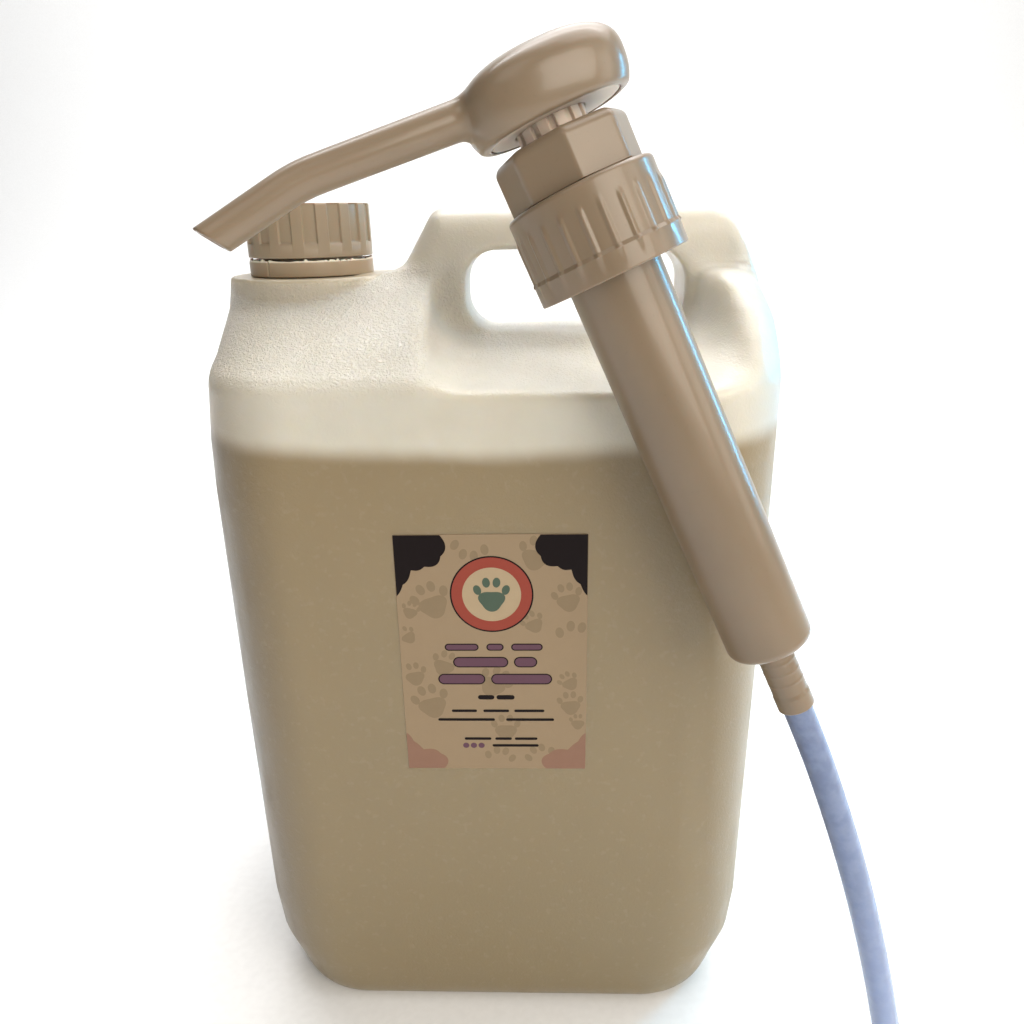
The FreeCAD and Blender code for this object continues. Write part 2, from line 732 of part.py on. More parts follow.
def make_seal():
    body = turned("piston_seal", [
        ("seal_root + 0.05", "seal_foot + 0.1"), ("seal_radius - 0.5", "seal_foot + 0.1"),
        ("seal_radius", "seal_foot + 1"), ("seal_radius", "seal_crown - 1"),
        ("seal_radius - 0.5", "seal_crown - 0.1"), ("seal_root + 0.05", "seal_crown - 0.1")])
    keep("piston_seal", body, PUMP)


def make_stem():
    body = turned("stem", [
        ("stem_bore", "stem_foot"), ("stem_radius", "stem_foot"), ("stem_radius", "stem_crown"),
        ("stem_bore", "stem_crown")])
    keep("stem", body, PUMP)


def make_outlet_seat():
    body = turned("outlet_seat", [
        ("outlet_seat_hole", "outlet_seat_foot"), ("stem_bore - 0.05", "outlet_seat_foot"),
        ("stem_bore - 0.05", "outlet_seat_crown"), ("outlet_seat_mouth", "outlet_seat_crown"),
        ("outlet_seat_hole", "outlet_seat_cone")])
    keep("outlet_seat", body, PUMP)


def make_spring():
    helix = doc.addObject("Part::Helix", "spring_helix")
    helix.setExpression("Pitch", bound("spring_pitch"))
    helix.setExpression("Radius", bound("spring_coil"))
    helix.setExpression("Height", "Sizes.spring_pitch * Sizes.spring_turns")
    wire = doc.addObject("Part::Circle", "spring_section")
    wire.setExpression("Radius", bound("spring_wire"))
    wire.Placement = Placement(Vector(size("spring_coil"), 0, 0), Rotation(Vector(1, 0, 0), 90))
    doc.recompute()
    spring = doc.addObject("Part::Sweep", "return_spring")
    spring.Sections = [wire]
    spring.Spine = (helix, ["Edge1"])
    spring.Solid = True
    spring.Frenet = True
    keep("return_spring", spring, PUMP.multiply(Placement(Vector(0, 0, size("spring_foot")), Rotation())))


# ---------------------------------------------------------------------------------- pump, head
def head_egg(inset):
    """The head's rounded form, turned about a level axis, with its faces moved inwards by the inset."""
    shrink = 1 - inset / max(radius for _, radius in HEAD_OUTLINE)
    points = [Vector(reach * shrink, 0, -radius * shrink) for reach, radius in HEAD_OUTLINE]
    curve = Part.BSplineCurve()
    curve.interpolate(points)
    back, front = Vector(points[0].x, 0, 0), Vector(points[-1].x, 0, 0)
    outline = Part.Wire([curve.toShape(), Part.LineSegment(points[-1], front).toShape(),
                         Part.LineSegment(front, back).toShape(), Part.LineSegment(back, points[0]).toShape()])
    egg = Part.Face(outline).revolve(Vector(), Vector(1, 0, 0), 360)
    egg.translate(Vector(0, 0, size("head_axis")))
    return egg.common(above_level(size("head_foot")))


def above_level(level):
    """A block that takes in all of the head above one level."""
    return Part.makeBox(80, 80, 60, Vector(-40, -40, level))


def spout_run(radii, elbow_radius, overrun):
    """The spout's solid core: a long run, a gentle elbow and a short run to the tip."""
    root = Vector(0, 0, size("spout_root_level"))
    bend = Vector(size("spout_bend_reach"), 0, size("spout_bend_level"))
    tip = Vector(size("spout_tip_reach"), 0, size("spout_tip_level"))
    tip = tip + (tip - bend).normalize() * overrun
    first = Part.makeCone(radii[0], radii[1], (bend - root).Length, root, bend - root)
    second = Part.makeCone(radii[1], radii[2], (tip - bend).Length, bend, tip - bend)
    elbow = Part.makeSphere(elbow_radius, bend)
    return first.fuse([second, elbow])


def make_head():
    egg = head_egg(0)
    outside = (size("spout_root_radius"), size("spout_bend_radius"), size("spout_tip_radius"))
    pipe = spout_run(outside, outside[1], 8)
    # The tip is cut off slantwise, so that its mouth looks down and outwards.
    tip = Vector(size("spout_tip_reach"), 0, size("spout_tip_level"))
    blade = Part.makeBox(30, 40, 60, Vector(0, -20, -30))
    blade.Placement = Placement(tip, Rotation(Vector(0, 1, 0), size("spout_cut")))
    pipe = pipe.cut(blade)
    boss_foot = size("head_foot")
    boss = Part.makeCylinder(size("head_boss"), size("chamber_crown") - boss_foot, Vector(0, 0, boss_foot))
    hollow = head_egg(size("head_wall"))
    above = above_level(boss_foot + size("head_base_thickness"))
    cavity = hollow.common(above).cut(boss).cut(pipe)
    recess = hollow.cut(above).cut(boss)
    shell = egg.cut(cavity).cut(recess).fuse(pipe)
    core = size("spout_bore")
    bore = spout_run((core + 0.1, core, core - 0.1), core + 0.2, 10)
    chamber = Part.makeCylinder(size("chamber_bore"), size("chamber_crown") - size("stem_crown"),
                                Vector(0, 0, size("stem_crown")))
    socket = Part.makeCylinder(size("head_socket"), size("stem_crown") - boss_foot + 1,
                               Vector(0, 0, boss_foot - 1))
    sleeve_socket = Part.makeCylinder(size("sleeve_radius"), size("sleeve_crown") - boss_foot + 1,
                                      Vector(0, 0, boss_foot - 1))
    ahead = Part.makeBox(200, 200, 200, Vector(0, -100, 100))
    stop_foot = size("ball_stop_foot")
    stop = Part.makeCylinder(size("ball_stop_radius"), size("chamber_crown") + 0.6 - stop_foot,
                             Vector(0, 0, stop_foot))
    shape = shell.cut([bore.common(ahead), chamber, socket, sleeve_socket]).fuse(stop)
    piece = doc.addObject("Part::Feature", "pump_head")
    piece.Shape = shape.removeSplitter()
    keep("pump_head", piece, PUMP)

    plate = head_egg(size("head_wall") + 0.1).cut(above)
    plate = plate.cut(Part.makeCylinder(size("head_boss") + 0.1, 20, Vector(0, 0, boss_foot - 10)))
    base = doc.addObject("Part::Feature", "head_base")
    base.Shape = plate
    keep("head_base", base, PUMP)


def make_sleeve():
    body = turned("lock_sleeve", [
        ("sleeve_bore", "sleeve_foot"), ("sleeve_radius - 0.5", "sleeve_foot"),
        ("sleeve_radius - 0.5", "sleeve_crown - 0.1"), ("sleeve_bore", "sleeve_crown - 0.1")])
    ribbed(body, "sleeve", "sleeve_radius - 0.5", "sleeve_radius - 0.05", "sleeve_rib_half",
           "sleeve_foot + 0.5", "sleeve_crown - 0.1", "sleeve_ribs")
    keep("lock_sleeve", body, PUMP)


make_can()
make_neck()
make_fill()
make_label()
make_cap()
make_liner()
make_band()
make_tube()
make_connector()
make_barrel()
make_gasket()
make_closure()
make_nut()
make_wiper()
make_cage()
make_ball("inlet_ball", "inlet_ball_radius", "seat_foot", "inlet_hole")
make_piston()
make_seal()
make_stem()
make_outlet_seat()
make_ball("outlet_ball", "outlet_ball_radius", "outlet_seat_cone", "outlet_seat_hole")
make_spring()
make_head()
make_sleeve()
doc.recompute()

# --------------------------------------------------------------------------- checks and files
failed = [item.Name for item in doc.Objects if {"Invalid", "Error"} & set(item.State)]
if failed:
    raise RuntimeError("these objects did not build: " + ", ".join(failed))
for name, piece in nodes.items():
    if piece.Shape.isNull() or not piece.Shape.isValid() or not piece.Shape.Solids:
        raise RuntimeError(name + " has no sound solid")

os.makedirs("parts", exist_ok=True)
for name, piece in nodes.items():
    piece.Shape.exportStep(os.path.join("parts", name + ".step"))
    print(f"{name:18} {len(piece.Shape.Solids)} solid, {piece.Shape.Volume / 1000:9.3f} ml")
print("pump foot", [round(value, 3) for value in pump_foot], "pump axis",
      [round(value, 5) for value in pump_axis])
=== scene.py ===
"""The looks of the jerrycan with its leaning dispensing pump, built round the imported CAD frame.

Lengths are in millimetres until a mesh is made; every Blender object is in metres.
"""

import json
import math

import bpy
import numpy as np
from mathutils import Matrix, Vector, geometry


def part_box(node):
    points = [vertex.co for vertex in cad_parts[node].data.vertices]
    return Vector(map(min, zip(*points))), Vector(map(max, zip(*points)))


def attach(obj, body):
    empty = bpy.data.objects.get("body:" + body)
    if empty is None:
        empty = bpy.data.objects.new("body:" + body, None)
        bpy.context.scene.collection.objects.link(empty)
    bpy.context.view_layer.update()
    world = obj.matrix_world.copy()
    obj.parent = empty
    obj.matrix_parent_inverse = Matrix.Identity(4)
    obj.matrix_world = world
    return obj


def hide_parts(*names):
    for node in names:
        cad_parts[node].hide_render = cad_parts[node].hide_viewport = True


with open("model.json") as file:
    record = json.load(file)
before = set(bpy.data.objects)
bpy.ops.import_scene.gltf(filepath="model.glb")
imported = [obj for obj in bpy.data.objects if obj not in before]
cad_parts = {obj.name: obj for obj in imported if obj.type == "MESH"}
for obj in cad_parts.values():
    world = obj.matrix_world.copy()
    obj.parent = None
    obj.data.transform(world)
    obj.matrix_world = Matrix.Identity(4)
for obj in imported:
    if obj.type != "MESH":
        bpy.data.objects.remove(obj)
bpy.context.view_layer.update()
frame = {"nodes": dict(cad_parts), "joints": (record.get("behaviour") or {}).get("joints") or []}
MM = 0.001
joints = {joint["name"]: joint for joint in frame["joints"]}


# ---- places
def millimetres(values):
    return np.array([value / MM for value in values])


def boxed(node):
    """The lowest and highest corners of a CAD node, in millimetres."""
    low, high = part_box(node)
    return millimetres(low), millimetres(high)


# how far the spout's heading is swung from the can's -X side, seen from above
SWING = math.radians(12.0)
pump_foot = millimetres(joints["closure_spin"]["pos_m"])
pump_up = np.array(joints["closure_spin"]["axis"], float)
pump_up /= np.linalg.norm(pump_up)
heading = np.array([-math.cos(SWING), -math.sin(SWING), 0.0])
pump_side = np.cross(pump_up, heading)
pump_side /= np.linalg.norm(pump_side)
pump_ahead = np.cross(pump_side, pump_up)
PUMP = (np.stack([pump_ahead, pump_side, pump_up], 1), pump_foot)

cap_low, cap_high = boxed("cap")
NECK_X = (cap_low[0] + cap_high[0]) / 2
NECK = (np.eye(3), np.array([NECK_X, 0.0, 0.0]))


def placed(points, place):
    """Points of a frame, given as its turn and its origin, in the can's own frame."""
    turn, origin = place
    return points @ turn.T + origin


# ---- camera
# where the photograph was taken from in metres, and its turn to the right, dip and roll in degrees
CAMERA_PLACE = (0.016307, -0.300168, 0.288050)
CAMERA_TURN, CAMERA_DIP, CAMERA_ROLL = -2.158, 19.84, -1.139
CAMERA_LENS, CAMERA_SENSOR = 28.98, 36.0


def add_camera():
    data = bpy.data.cameras.new("photo_camera")
    data.sensor_width, data.lens = CAMERA_SENSOR, CAMERA_LENS
    data.clip_start, data.clip_end = 0.01, 20.0
    camera = bpy.data.objects.new("photo_camera", data)
    camera.matrix_world = (Matrix.Translation(CAMERA_PLACE)
                           @ Matrix.Rotation(math.radians(-CAMERA_TURN), 4, "Z")
                           @ Matrix.Rotation(math.radians(90 - CAMERA_DIP), 4, "X")
                           @ Matrix.Rotation(math.radians(CAMERA_ROLL), 4, "Z"))
    bpy.context.scene.collection.objects.link(camera)
    bpy.context.scene.camera = camera


add_camera()


# ---- meshes
def quad_object(name, points, faces, smooth=True):
    """A mesh object from points in millimetres."""
    mesh = bpy.data.meshes.new(name)
    rows = faces.tolist() if isinstance(faces, np.ndarray) else faces
    mesh.from_pydata((np.asarray(points) * MM).tolist(), [], rows)
    mesh.update()
    if smooth:
        mesh.shade_smooth()
    piece = bpy.data.objects.new(name, mesh)
    bpy.context.scene.collection.objects.link(piece)
    return piece


def joined(parts):
    """One point list and one face list from several (points, faces) pairs."""
    points, faces, count = [], [], 0
    for part_points, part_faces in parts:
        points.append(np.asarray(part_points, float))
        faces += [[index + count for index in face] for face in np.asarray(part_faces).tolist()]
        count += len(part_points)
    return np.vstack(points), faces


def add_piece(name, shape, body, slot, material, *replaced, smooth=True):
    """A finished piece from its (points, faces): it rides a body and may replace CAD nodes. The slot argument
    is not used.
    """
    piece = quad_object(name, *shape, smooth)
    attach(piece, body)
    piece.data.materials.append(material)
    if replaced:
        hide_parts(*replaced)
    return piece


def grid_quads(rows, around, closed):
    """Quads between points that come in rows, each row a ring. When closed, the last row joins the first."""
    i, j = np.meshgrid(np.arange(rows if closed else rows - 1), np.arange(around), indexing="ij")
    ahead, beside = (i + 1) % rows, (j + 1) % around
    return np.stack([i * around + j, i * around + beside, ahead * around + beside,
                     ahead * around + j], 2).reshape(-1, 4)


FLIPPED = (0, 3, 2, 1)


def softened(profile, closed, steps):
    """Rounds each (across, up, radius) corner of a profile, with a point close to each end of every arc so
    that the flats between them shade flat."""
    points = []
    count = len(profile)
    for index, (a, b, radius) in enumerate(profile):
        here = np.array([a, b], float)
        at_end = not closed and index in (0, count - 1)
        if radius <= 0 or at_end:
            points.append(here)
            continue
        back = np.array(profile[index - 1][:2], float) - here
        ahead = np.array(profile[(index + 1) % count][:2], float) - here
        long_back, long_ahead = np.linalg.norm(back), np.linalg.norm(ahead)
        back, ahead = back / long_back, ahead / long_ahead
        half = math.acos(max(-1.0, min(1.0, float(back @ ahead)))) / 2
        if half > math.pi / 2 - 0.01:
            points.append(here)
            continue
        reach = min(radius / math.tan(half), 0.48 * long_back, 0.48 * long_ahead)
        radius = reach * math.tan(half)
        inward = (back + ahead) / np.linalg.norm(back + ahead)
        centre = here + inward * radius / math.sin(half)
        first, last = here + back * reach - centre, here + ahead * reach - centre
        sweep = math.pi - 2 * half
        turn = math.copysign(1.0, first[0] * last[1] - first[1] * last[0])
        apart = min(0.25, 0.3 * (long_back - reach)), min(0.25, 0.3 * (long_ahead - reach))
        points.append(here + back * (reach + apart[0]))
        for step in range(steps + 1):
            angle = turn * sweep * step / steps
            c, s = math.cos(angle), math.sin(angle)
            points.append(centre + np.array([first[0] * c - first[1] * s, first[0] * s + first[1] * c]))
        points.append(here + ahead * (reach + apart[1]))
    return np.array(points)


def denser(points, closed, low, high, gap):
    """Adds points to the runs of a profile whose middles lie between two heights."""
    out = []
    for index, (here, after) in enumerate(zip(points, np.roll(points, -1, axis=0))):
        parts = max(int(np.linalg.norm(after - here) / gap), 1)
        open_end = index == len(points) - 1 and not closed
        if open_end or not low < (here[1] + after[1]) / 2 < high:
            parts = 1
        out += [here + (after - here) * step / parts for step in range(parts)]
    return np.array(out)


def lathe(profile, place, segments, closed=True, shape=None, dense=None, steps=5):
    """Points and faces of a profile turned about a frame's Z axis. shape(r, z, angle) may change the radius
    and the height all round; dense gives two heights and the gap between points from one to the other."""
    line = softened(profile, closed, steps)
    if dense:
        line = denser(line, closed, *dense)
    angles = np.linspace(0, 2 * math.pi, segments, endpoint=False)[None, :]
    r = line[:, :1] + 0 * angles
    z = line[:, 1:] + 0 * angles
    if shape:
        r, z = shape(r, z, angles + 0 * r)
    points = np.stack([r * np.cos(angles), r * np.sin(angles), z], 2).reshape(-1, 3)
    quads = grid_quads(len(line), segments, closed)
    after = np.roll(line, -1, axis=0)
    if (line[:, 0] * after[:, 1] - after[:, 0] * line[:, 1]).sum() < 0:
        quads = quads[:, ::-1]
    return placed(points, place), quads


def smoothstep(low, high, value):
    """0 below low, 1 above high, with a smooth run between them."""
    t = np.clip((value - low) / (high - low), 0, 1)
    return t * t * (3 - 2 * t)


def teeth(angles, count, share, soft, phase=0.0):
    """1 on each of some evenly spaced raised teeth and 0 between them."""
    turn = (angles - phase) * count / (2 * math.pi)
    away = np.abs(turn - np.round(turn))
    return 1 - smoothstep(share / 2 - soft, share / 2 + soft, away)


def smin(a, b, k):
    """The smaller of two distances, blended over about k so that the two forms meet in a fillet."""
    h = np.clip(0.5 + 0.5 * (b - a) / k, 0, 1)
    return b + (a - b) * h - k * h * (1 - h)


def smax(a, b, k):
    """The larger of two distances, blended likewise: the overlap of two forms, or one cut out of another."""
    return -smin(-a, -b, k)


def round_box(x, y, half_x, half_y, radius):
    """Signed distance to a rectangle with rounded corners."""
    across, up = np.abs(x) - half_x + radius, np.abs(y) - half_y + radius
    outside = np.hypot(np.maximum(across, 0), np.maximum(up, 0))
    return outside + np.minimum(np.maximum(across, up), 0) - radius


def polygon_distance(x, y, corners):
    """Signed distance to a polygon, negative inside."""
    nearest = np.full(np.shape(x), 1e9)
    inside = np.zeros(np.shape(x), bool)
    for index, (ax, ay) in enumerate(corners):
        bx, by = corners[(index + 1) % len(corners)]
        ex, ey = bx - ax, by - ay
        wx, wy = x - ax, y - ay
        t = np.clip((wx * ex + wy * ey) / (ex * ex + ey * ey), 0, 1)
        nearest = np.minimum(nearest, np.hypot(wx - ex * t, wy - ey * t))
        crosses = (ay > y) != (by > y)
        inside ^= crosses & (x < ex * (y - ay) / (ey + 1e-12) + ax)
    return np.where(inside, -nearest, nearest)


def skin_of(field, low, high, cell):
    """The surface where field(x, y, z) is zero, as points and outward quads: surface nets, then a few steps
    that bring every point onto the exact surface."""
    low, high = np.array(low, float), np.array(high, float)
    n = np.ceil((high - low) / cell).astype(int) + 1
    axes = [low[i] + cell * np.arange(n[i]) for i in range(3)]
    values = np.empty(n, np.float32)
    ys, zs = np.meshgrid(axes[1], axes[2], indexing="ij")
    for i, x in enumerate(axes[0]):
        values[i] = field(np.full_like(ys, x), ys, zs)
    inside = values < 0
    side = (slice(0, -1), slice(1, None))
    count = np.zeros(n - 1, np.int16)
    total = np.zeros((3,) + tuple(n - 1), np.float32)
    for axis in range(3):
        for a in (0, 1):
            for b in (0, 1):
                start, end = [a, b], [a, b]
                start.insert(axis, 0)
                end.insert(axis, 1)
                v0 = values[tuple(side[k] for k in start)]
                v1 = values[tuple(side[k] for k in end)]
                hit = (v0 < 0) != (v1 < 0)
                t = np.where(hit, v0 / np.where(hit, v0 - v1, 1), 0)
                count += hit
                for k in range(3):
                    total[k] += np.where(hit, t if k == axis else start[k], 0)
    live = count > 0
    index = -np.ones(n - 1, np.int64)
    index[live] = np.arange(live.sum())
    points = low + cell * (np.argwhere(live) + (total[:, live] / count[live]).T)
    quads = []
    for axis in range(3):
        u, w = (axis + 1) % 3, (axis + 2) % 3
        first = np.delete(inside, -1, axis)
        cells = np.argwhere(first != np.delete(inside, 0, axis))
        kept = (cells[:, u] > 0) & (cells[:, w] > 0) & (cells[:, u] < n[u] - 1) & (cells[:, w] < n[w] - 1)
        cells = cells[kept]
        du, dw = np.zeros(3, int), np.zeros(3, int)
        du[u], dw[w] = 1, 1
        quad = np.stack([index[tuple((cells - step).T)] for step in (0 * du, du, du + dw, dw)], 1)
        flip = ~first[tuple(cells.T)]
        quad[flip] = quad[flip][:, ::-1]
        quads.append(quad)
    for _ in range(3):
        e = cell * 0.05
        value = field(*points.T)
        slope = np.stack([(field(*(points + d).T) - field(*(points - d).T)) / (2 * e)
                          for d in np.eye(3) * e], 1)
        move = -slope * (value / np.maximum((slope * slope).sum(1), 0.05))[:, None]
        length = np.linalg.norm(move, axis=1)
        points = points + move * np.minimum(1, 0.7 * cell / np.maximum(length, 1e-9))[:, None]
    return points, np.vstack(quads)


# ---- materials
def linear(r, g, b):
    """A colour given as it looks on a screen, 0 to 255, turned to scene-linear."""
    def one(value):
        value /= 255
        return value / 12.92 if value <= 0.04045 else ((value + 0.055) / 1.055) ** 2.4
    return (one(r), one(g), one(b), 1.0)


def scaled(colour, factor, lift=0.0):
    """A colour made lighter or darker."""
    return tuple(min(1.0, value * factor + lift) for value in colour[:3]) + (1.0,)


class Shade:
    """A small helper that wires up one material's nodes."""

    def __init__(self, name, **inputs):
        self.material = bpy.data.materials.new(name)
        self.material.use_nodes = True
        self.tree = self.material.node_tree
        self.shader = self.tree.nodes["Principled BSDF"]
        for key, value in inputs.items():
            self.shader.inputs[key.replace("_", " ")].default_value = value
        self.coords = self.node("ShaderNodeTexCoord").outputs["Object"]

    def node(self, kind, **settings):
        node = self.tree.nodes.new(kind)
        for key, value in settings.items():
            if hasattr(node, key):
                setattr(node, key, value)
            else:
                self.feed(node.inputs[key.replace("_", " ")], value)
        return node

    def feed(self, socket, value):
        if isinstance(value, bpy.types.NodeSocket):
            self.tree.links.new(value, socket)
        else:
            socket.default_value = value

    def noise(self, scale, detail=3.0, rough=0.5, stretch=None, distort=0.0):
        """Noise whose features are about 1/scale metres across."""
        coords = self.coords
        if stretch:
            coords = self.node("ShaderNodeVectorMath", operation="MULTIPLY")
            self.feed(coords.inputs[0], self.coords)
            coords.inputs[1].default_value = stretch
            coords = coords.outputs[0]
        texture = self.node("ShaderNodeTexNoise", Vector=coords, Scale=scale, Detail=detail, Roughness=rough,
                            Distortion=distort)
        return texture.outputs["Fac"]

    def part(self, axis):
        """The place on the piece along one axis, in metres."""
        split = self.node("ShaderNodeSeparateXYZ")
        self.feed(split.inputs[0], self.coords)
        return split.outputs[axis]

    def maths(self, operation, *values):
        node = self.node("ShaderNodeMath", operation=operation)
        for socket, value in zip(node.inputs, values):
            self.feed(socket, value)
        return node.outputs[0]

    def times(self, first, *others):
        for other in others:
            first = self.maths("MULTIPLY", first, other)
        return first

    def span(self, value, low, high, to_low=0.0, to_high=1.0, smooth=True):
        """A value's run from low to high, mapped to the run from to_low to to_high."""
        node = self.node("ShaderNodeMapRange", interpolation_type="SMOOTHSTEP" if smooth else "LINEAR")
        for key, item in (("Value", value), ("From Min", low), ("From Max", high), ("To Min", to_low),
                          ("To Max", to_high)):
            self.feed(node.inputs[key], item)
        return node.outputs["Result"]

    def mix(self, share, a, b):
        node = self.node("ShaderNodeMix", data_type="RGBA")
        for index, value in ((0, share), (6, a), (7, b)):
            self.feed(node.inputs[index], value)
        return node.outputs[2]

    def blend(self, pattern, low, high, a, b, most=1.0):
        """From a towards b, by at most a share of it, as a pattern runs from low to high."""
        return self.mix(self.span(pattern, low, high, 0.0, most), a, b)

    def bump(self, height, distance, strength=1.0, below=None):
        node = self.node("ShaderNodeBump", Strength=strength, Distance=distance)
        self.feed(node.inputs["Height"], height)
        if below is not None:
            self.feed(node.inputs["Normal"], below)
        return node.outputs["Normal"]

    def set(self, **links):
        for key, value in links.items():
            self.feed(self.shader.inputs[key.replace("_", " ")], value)
        return self.material

    def finished(self, base, pattern, smoothest, roughest, relief, depth, strength=0.4):
        """The material with a colour, a roughness that follows a pattern, and a relief."""
        return self.set(Base_Color=base, Roughness=self.span(pattern, 0.3, 0.7, smoothest, roughest),
                        Normal=self.bump(relief, depth, strength))


# ---- the can's shape
can_low, can_high = boxed("can_body")
HALF_WIDE = float(can_high[0] - can_low[0]) / 2
HALF_DEEP = float(can_high[1] - can_low[1]) / 2
PLATFORM = float(boxed("threaded_neck")[0][2])
FILL_LEVEL = float(boxed("conditioner_fill")[1][2])
WALL = 1.6
MOUTH_RADIUS = 16.8
CREASE = 239.0
CORNER = 32.0
# the hand hole, and the funnel that widens its right end towards the front and the back
HOLE_MIDDLE, HOLE_HALF, HOLE_CORNER = (28.0, 263.75), (37.0, 13.25), 11.0
FUNNEL_MIDDLE, FUNNEL_RADIUS, FUNNEL_SPREAD = (52.0, 264.5), 13.0, 0.32
# the scoop beside the grip: its left end, the rise of its floor towards the grip, and the slanted plane at
# its right end, by a point on it (x, away from the middle, z), the way it faces and that way's length
SCOOP_LEFT, SCOOP_RISE, SCOOP_REACH = -19.5, 10.6, 52.0
SCOOP_END, SCOOP_FACING, SCOOP_FACING_LONG = (66.0, 30.0, 240.0), (0.72, -0.75, 0.55), 1.18
NECK_DISC, NECK_DISC_THICK = 28.0, 10.0
GRIP_HALF = 13.0

# how far each outline stands in from the block, as (height, inset) pairs
FOOT_SIDES = ((-5, 9.5), (0, 8.8), (6, 8.3), (11, 7.1), (17, 4.9), (24, 2.2), (40, 0.6), (130, 0))
FOOT_FRONT = ((-5, 7), (0, 5.2), (3, 3), (6, 1.6), (9, 0.8), (20, 0))
NECK_SIDE = ((205, 0), (222, 0.6), (238, 2.2), (247, 2.5), (260, 0.2), (270, 1.0))
GRIP_SIDE = ((200, 0), (245, 0.2), (256, 0.8), (268, 4.0), (277, 7.8), (284, 11.5), (292, 19))
SHOULDER = ((CREASE, 0), (241, 0.8), (243.5, 3), (246, 7.6), (262, 37.5), (269.5, 52), (320, 64))
WING = ((CREASE, 0), (245, 2.8), (252, 8), (260, 16), (276, 39), (284, 51), (320, 64))
GRIP_SHAPE = ((-34, 225), (-32, 262), (-26, 268), (-16, 284.6), (100, 284.6), (100, 225))
GRIP_ROUND = 6.0


def inset(table, z):
    """How far in an outline stands at a height."""
    heights, insets = zip(*table)
    return np.interp(z, heights, insets)


def can_distance(x, y, z):
    """How far a point lies outside the blow-moulded can, in millimetres, negative inside."""
    beside = np.abs(y)
    foot = inset(FOOT_SIDES, z)
    left = HALF_WIDE - foot - inset(NECK_SIDE, z)
    right = HALF_WIDE - foot - inset(GRIP_SIDE, z)
    wing = smoothstep(-10, 60, x)
    lean = inset(SHOULDER, z) * (1 - wing) + inset(WING, z) * wing
    slope = (inset(SHOULDER, z + 1) - inset(SHOULDER, z - 1)) / 2
    deep = HALF_DEEP - inset(FOOT_FRONT, z) - lean
    plan = round_box(x - (right - left) / 2, y, (left + right) / 2, np.maximum(deep, 2),
                     np.clip(deep, 2, CORNER))
    body = smax(plan / np.sqrt(1 + slope * slope), -z, 4.5)
    body = smax(body, z - PLATFORM - 0.5, 4)
    inward = np.clip((HALF_DEEP - beside) / SCOOP_REACH, 0, 1)
    scoop_floor = CREASE + 0.6 + SCOOP_RISE * inward ** 1.25
    scoop_end = sum(facing * (value - place) for facing, value, place
                    in zip(SCOOP_FACING, (x, beside, z), SCOOP_END)) / SCOOP_FACING_LONG
    scoop = smax(smax(SCOOP_LEFT - x, scoop_floor - z, 16), scoop_end, 26)
    body = smax(body, -scoop, 3.5)
    funnel = (np.hypot(x - FUNNEL_MIDDLE[0], z - FUNNEL_MIDDLE[1]) - FUNNEL_RADIUS
              - FUNNEL_SPREAD * np.maximum(beside - 6, 0))
    body = smax(body, -smax(funnel, CREASE + 7 - z, 10), 7)
    disc_middle = PLATFORM - NECK_DISC_THICK / 2
    disc = smax(np.hypot(x - NECK_X, beside) - NECK_DISC, np.abs(z - disc_middle) - NECK_DISC_THICK / 2, 1)
    body = smin(body, disc, 0.9)
    grip = smax(polygon_distance(x, z, GRIP_SHAPE) - GRIP_ROUND, beside - GRIP_HALF, 11)
    hole = round_box(x - HOLE_MIDDLE[0], z - HOLE_MIDDLE[1], *HOLE_HALF, HOLE_CORNER)
    return smax(smax(smin(body, grip, 5), x - right, 3), -hole, 2.2)


def mouth_cut(points, quads, radius, level):
    """Opens a round hole under the neck in a skin: drops what lies inside it and pulls its rim round."""
    across = points[:, 0] - NECK_X
    reach = np.hypot(across, points[:, 1])
    top = points[:, 2] > level
    inside = (reach < radius) & top
    kept = quads[~inside[quads].all(1)]
    rim = inside & np.isin(np.arange(len(points)), kept)
    scale = radius / np.maximum(reach[rim], 1e-6)
    points = points.copy()
    points[rim, 0] = NECK_X + across[rim] * scale
    points[rim, 1] *= scale
    used = np.unique(kept)
    index = np.full(len(points), -1)
    index[used] = np.arange(len(used))
    return points[used], index[kept]


def make_can(material, cell):
    """The hollow can: its outer skin, its lining and the round edge that joins them under the neck."""
    margin, cut_level = 3.0, PLATFORM - 5
    low, high = can_low - margin, can_high + margin
    outer = mouth_cut(*skin_of(can_distance, low, high, cell), MOUTH_RADIUS, cut_level)

    def lining(x, y, z):
        return can_distance(x, y, z) + WALL
    inner_points, inner_quads = mouth_cut(*skin_of(lining, low, high, cell * 1.25), MOUTH_RADIUS - 0.6,
                                          cut_level)
    near, far, underside = MOUTH_RADIUS - 1.2, MOUTH_RADIUS + 0.7, PLATFORM - WALL - 0.4
    collar = [(near, underside, 0), (far, underside, 0), (far, PLATFORM - 0.1, 0), (near, PLATFORM + 0.1, 0)]
    points, faces = joined([outer, (inner_points, inner_quads[:, ::-1]), lathe(collar, NECK, 96)])
    add_piece("can_shell", (points, faces), "can", "can_hdpe", material, "can_body")


def make_fill(material, cell):
    """The conditioner: the can's inside up to its level, with a small curl up the wall round the top."""
    clear = WALL + 0.5

    def liquid(x, y, z):
        wall = can_distance(x, y, z) + clear
        curl = 1.4 * np.exp(-np.clip(-wall, 0, 20) / 2.2)
        return smax(wall, z - FILL_LEVEL + 1.6 - curl, 0.8)
    add_piece("conditioner_pool", skin_of(liquid, can_low, can_high, cell), "can", "conditioner", material,
              "conditioner_fill")


# ---- neck, cap and band
THREAD_PITCH = 4.233
THREAD_TURNS = 1.25
CAP_CORE, CAP_BORE, CAP_CREST = 20.45, 19.05, 18.0


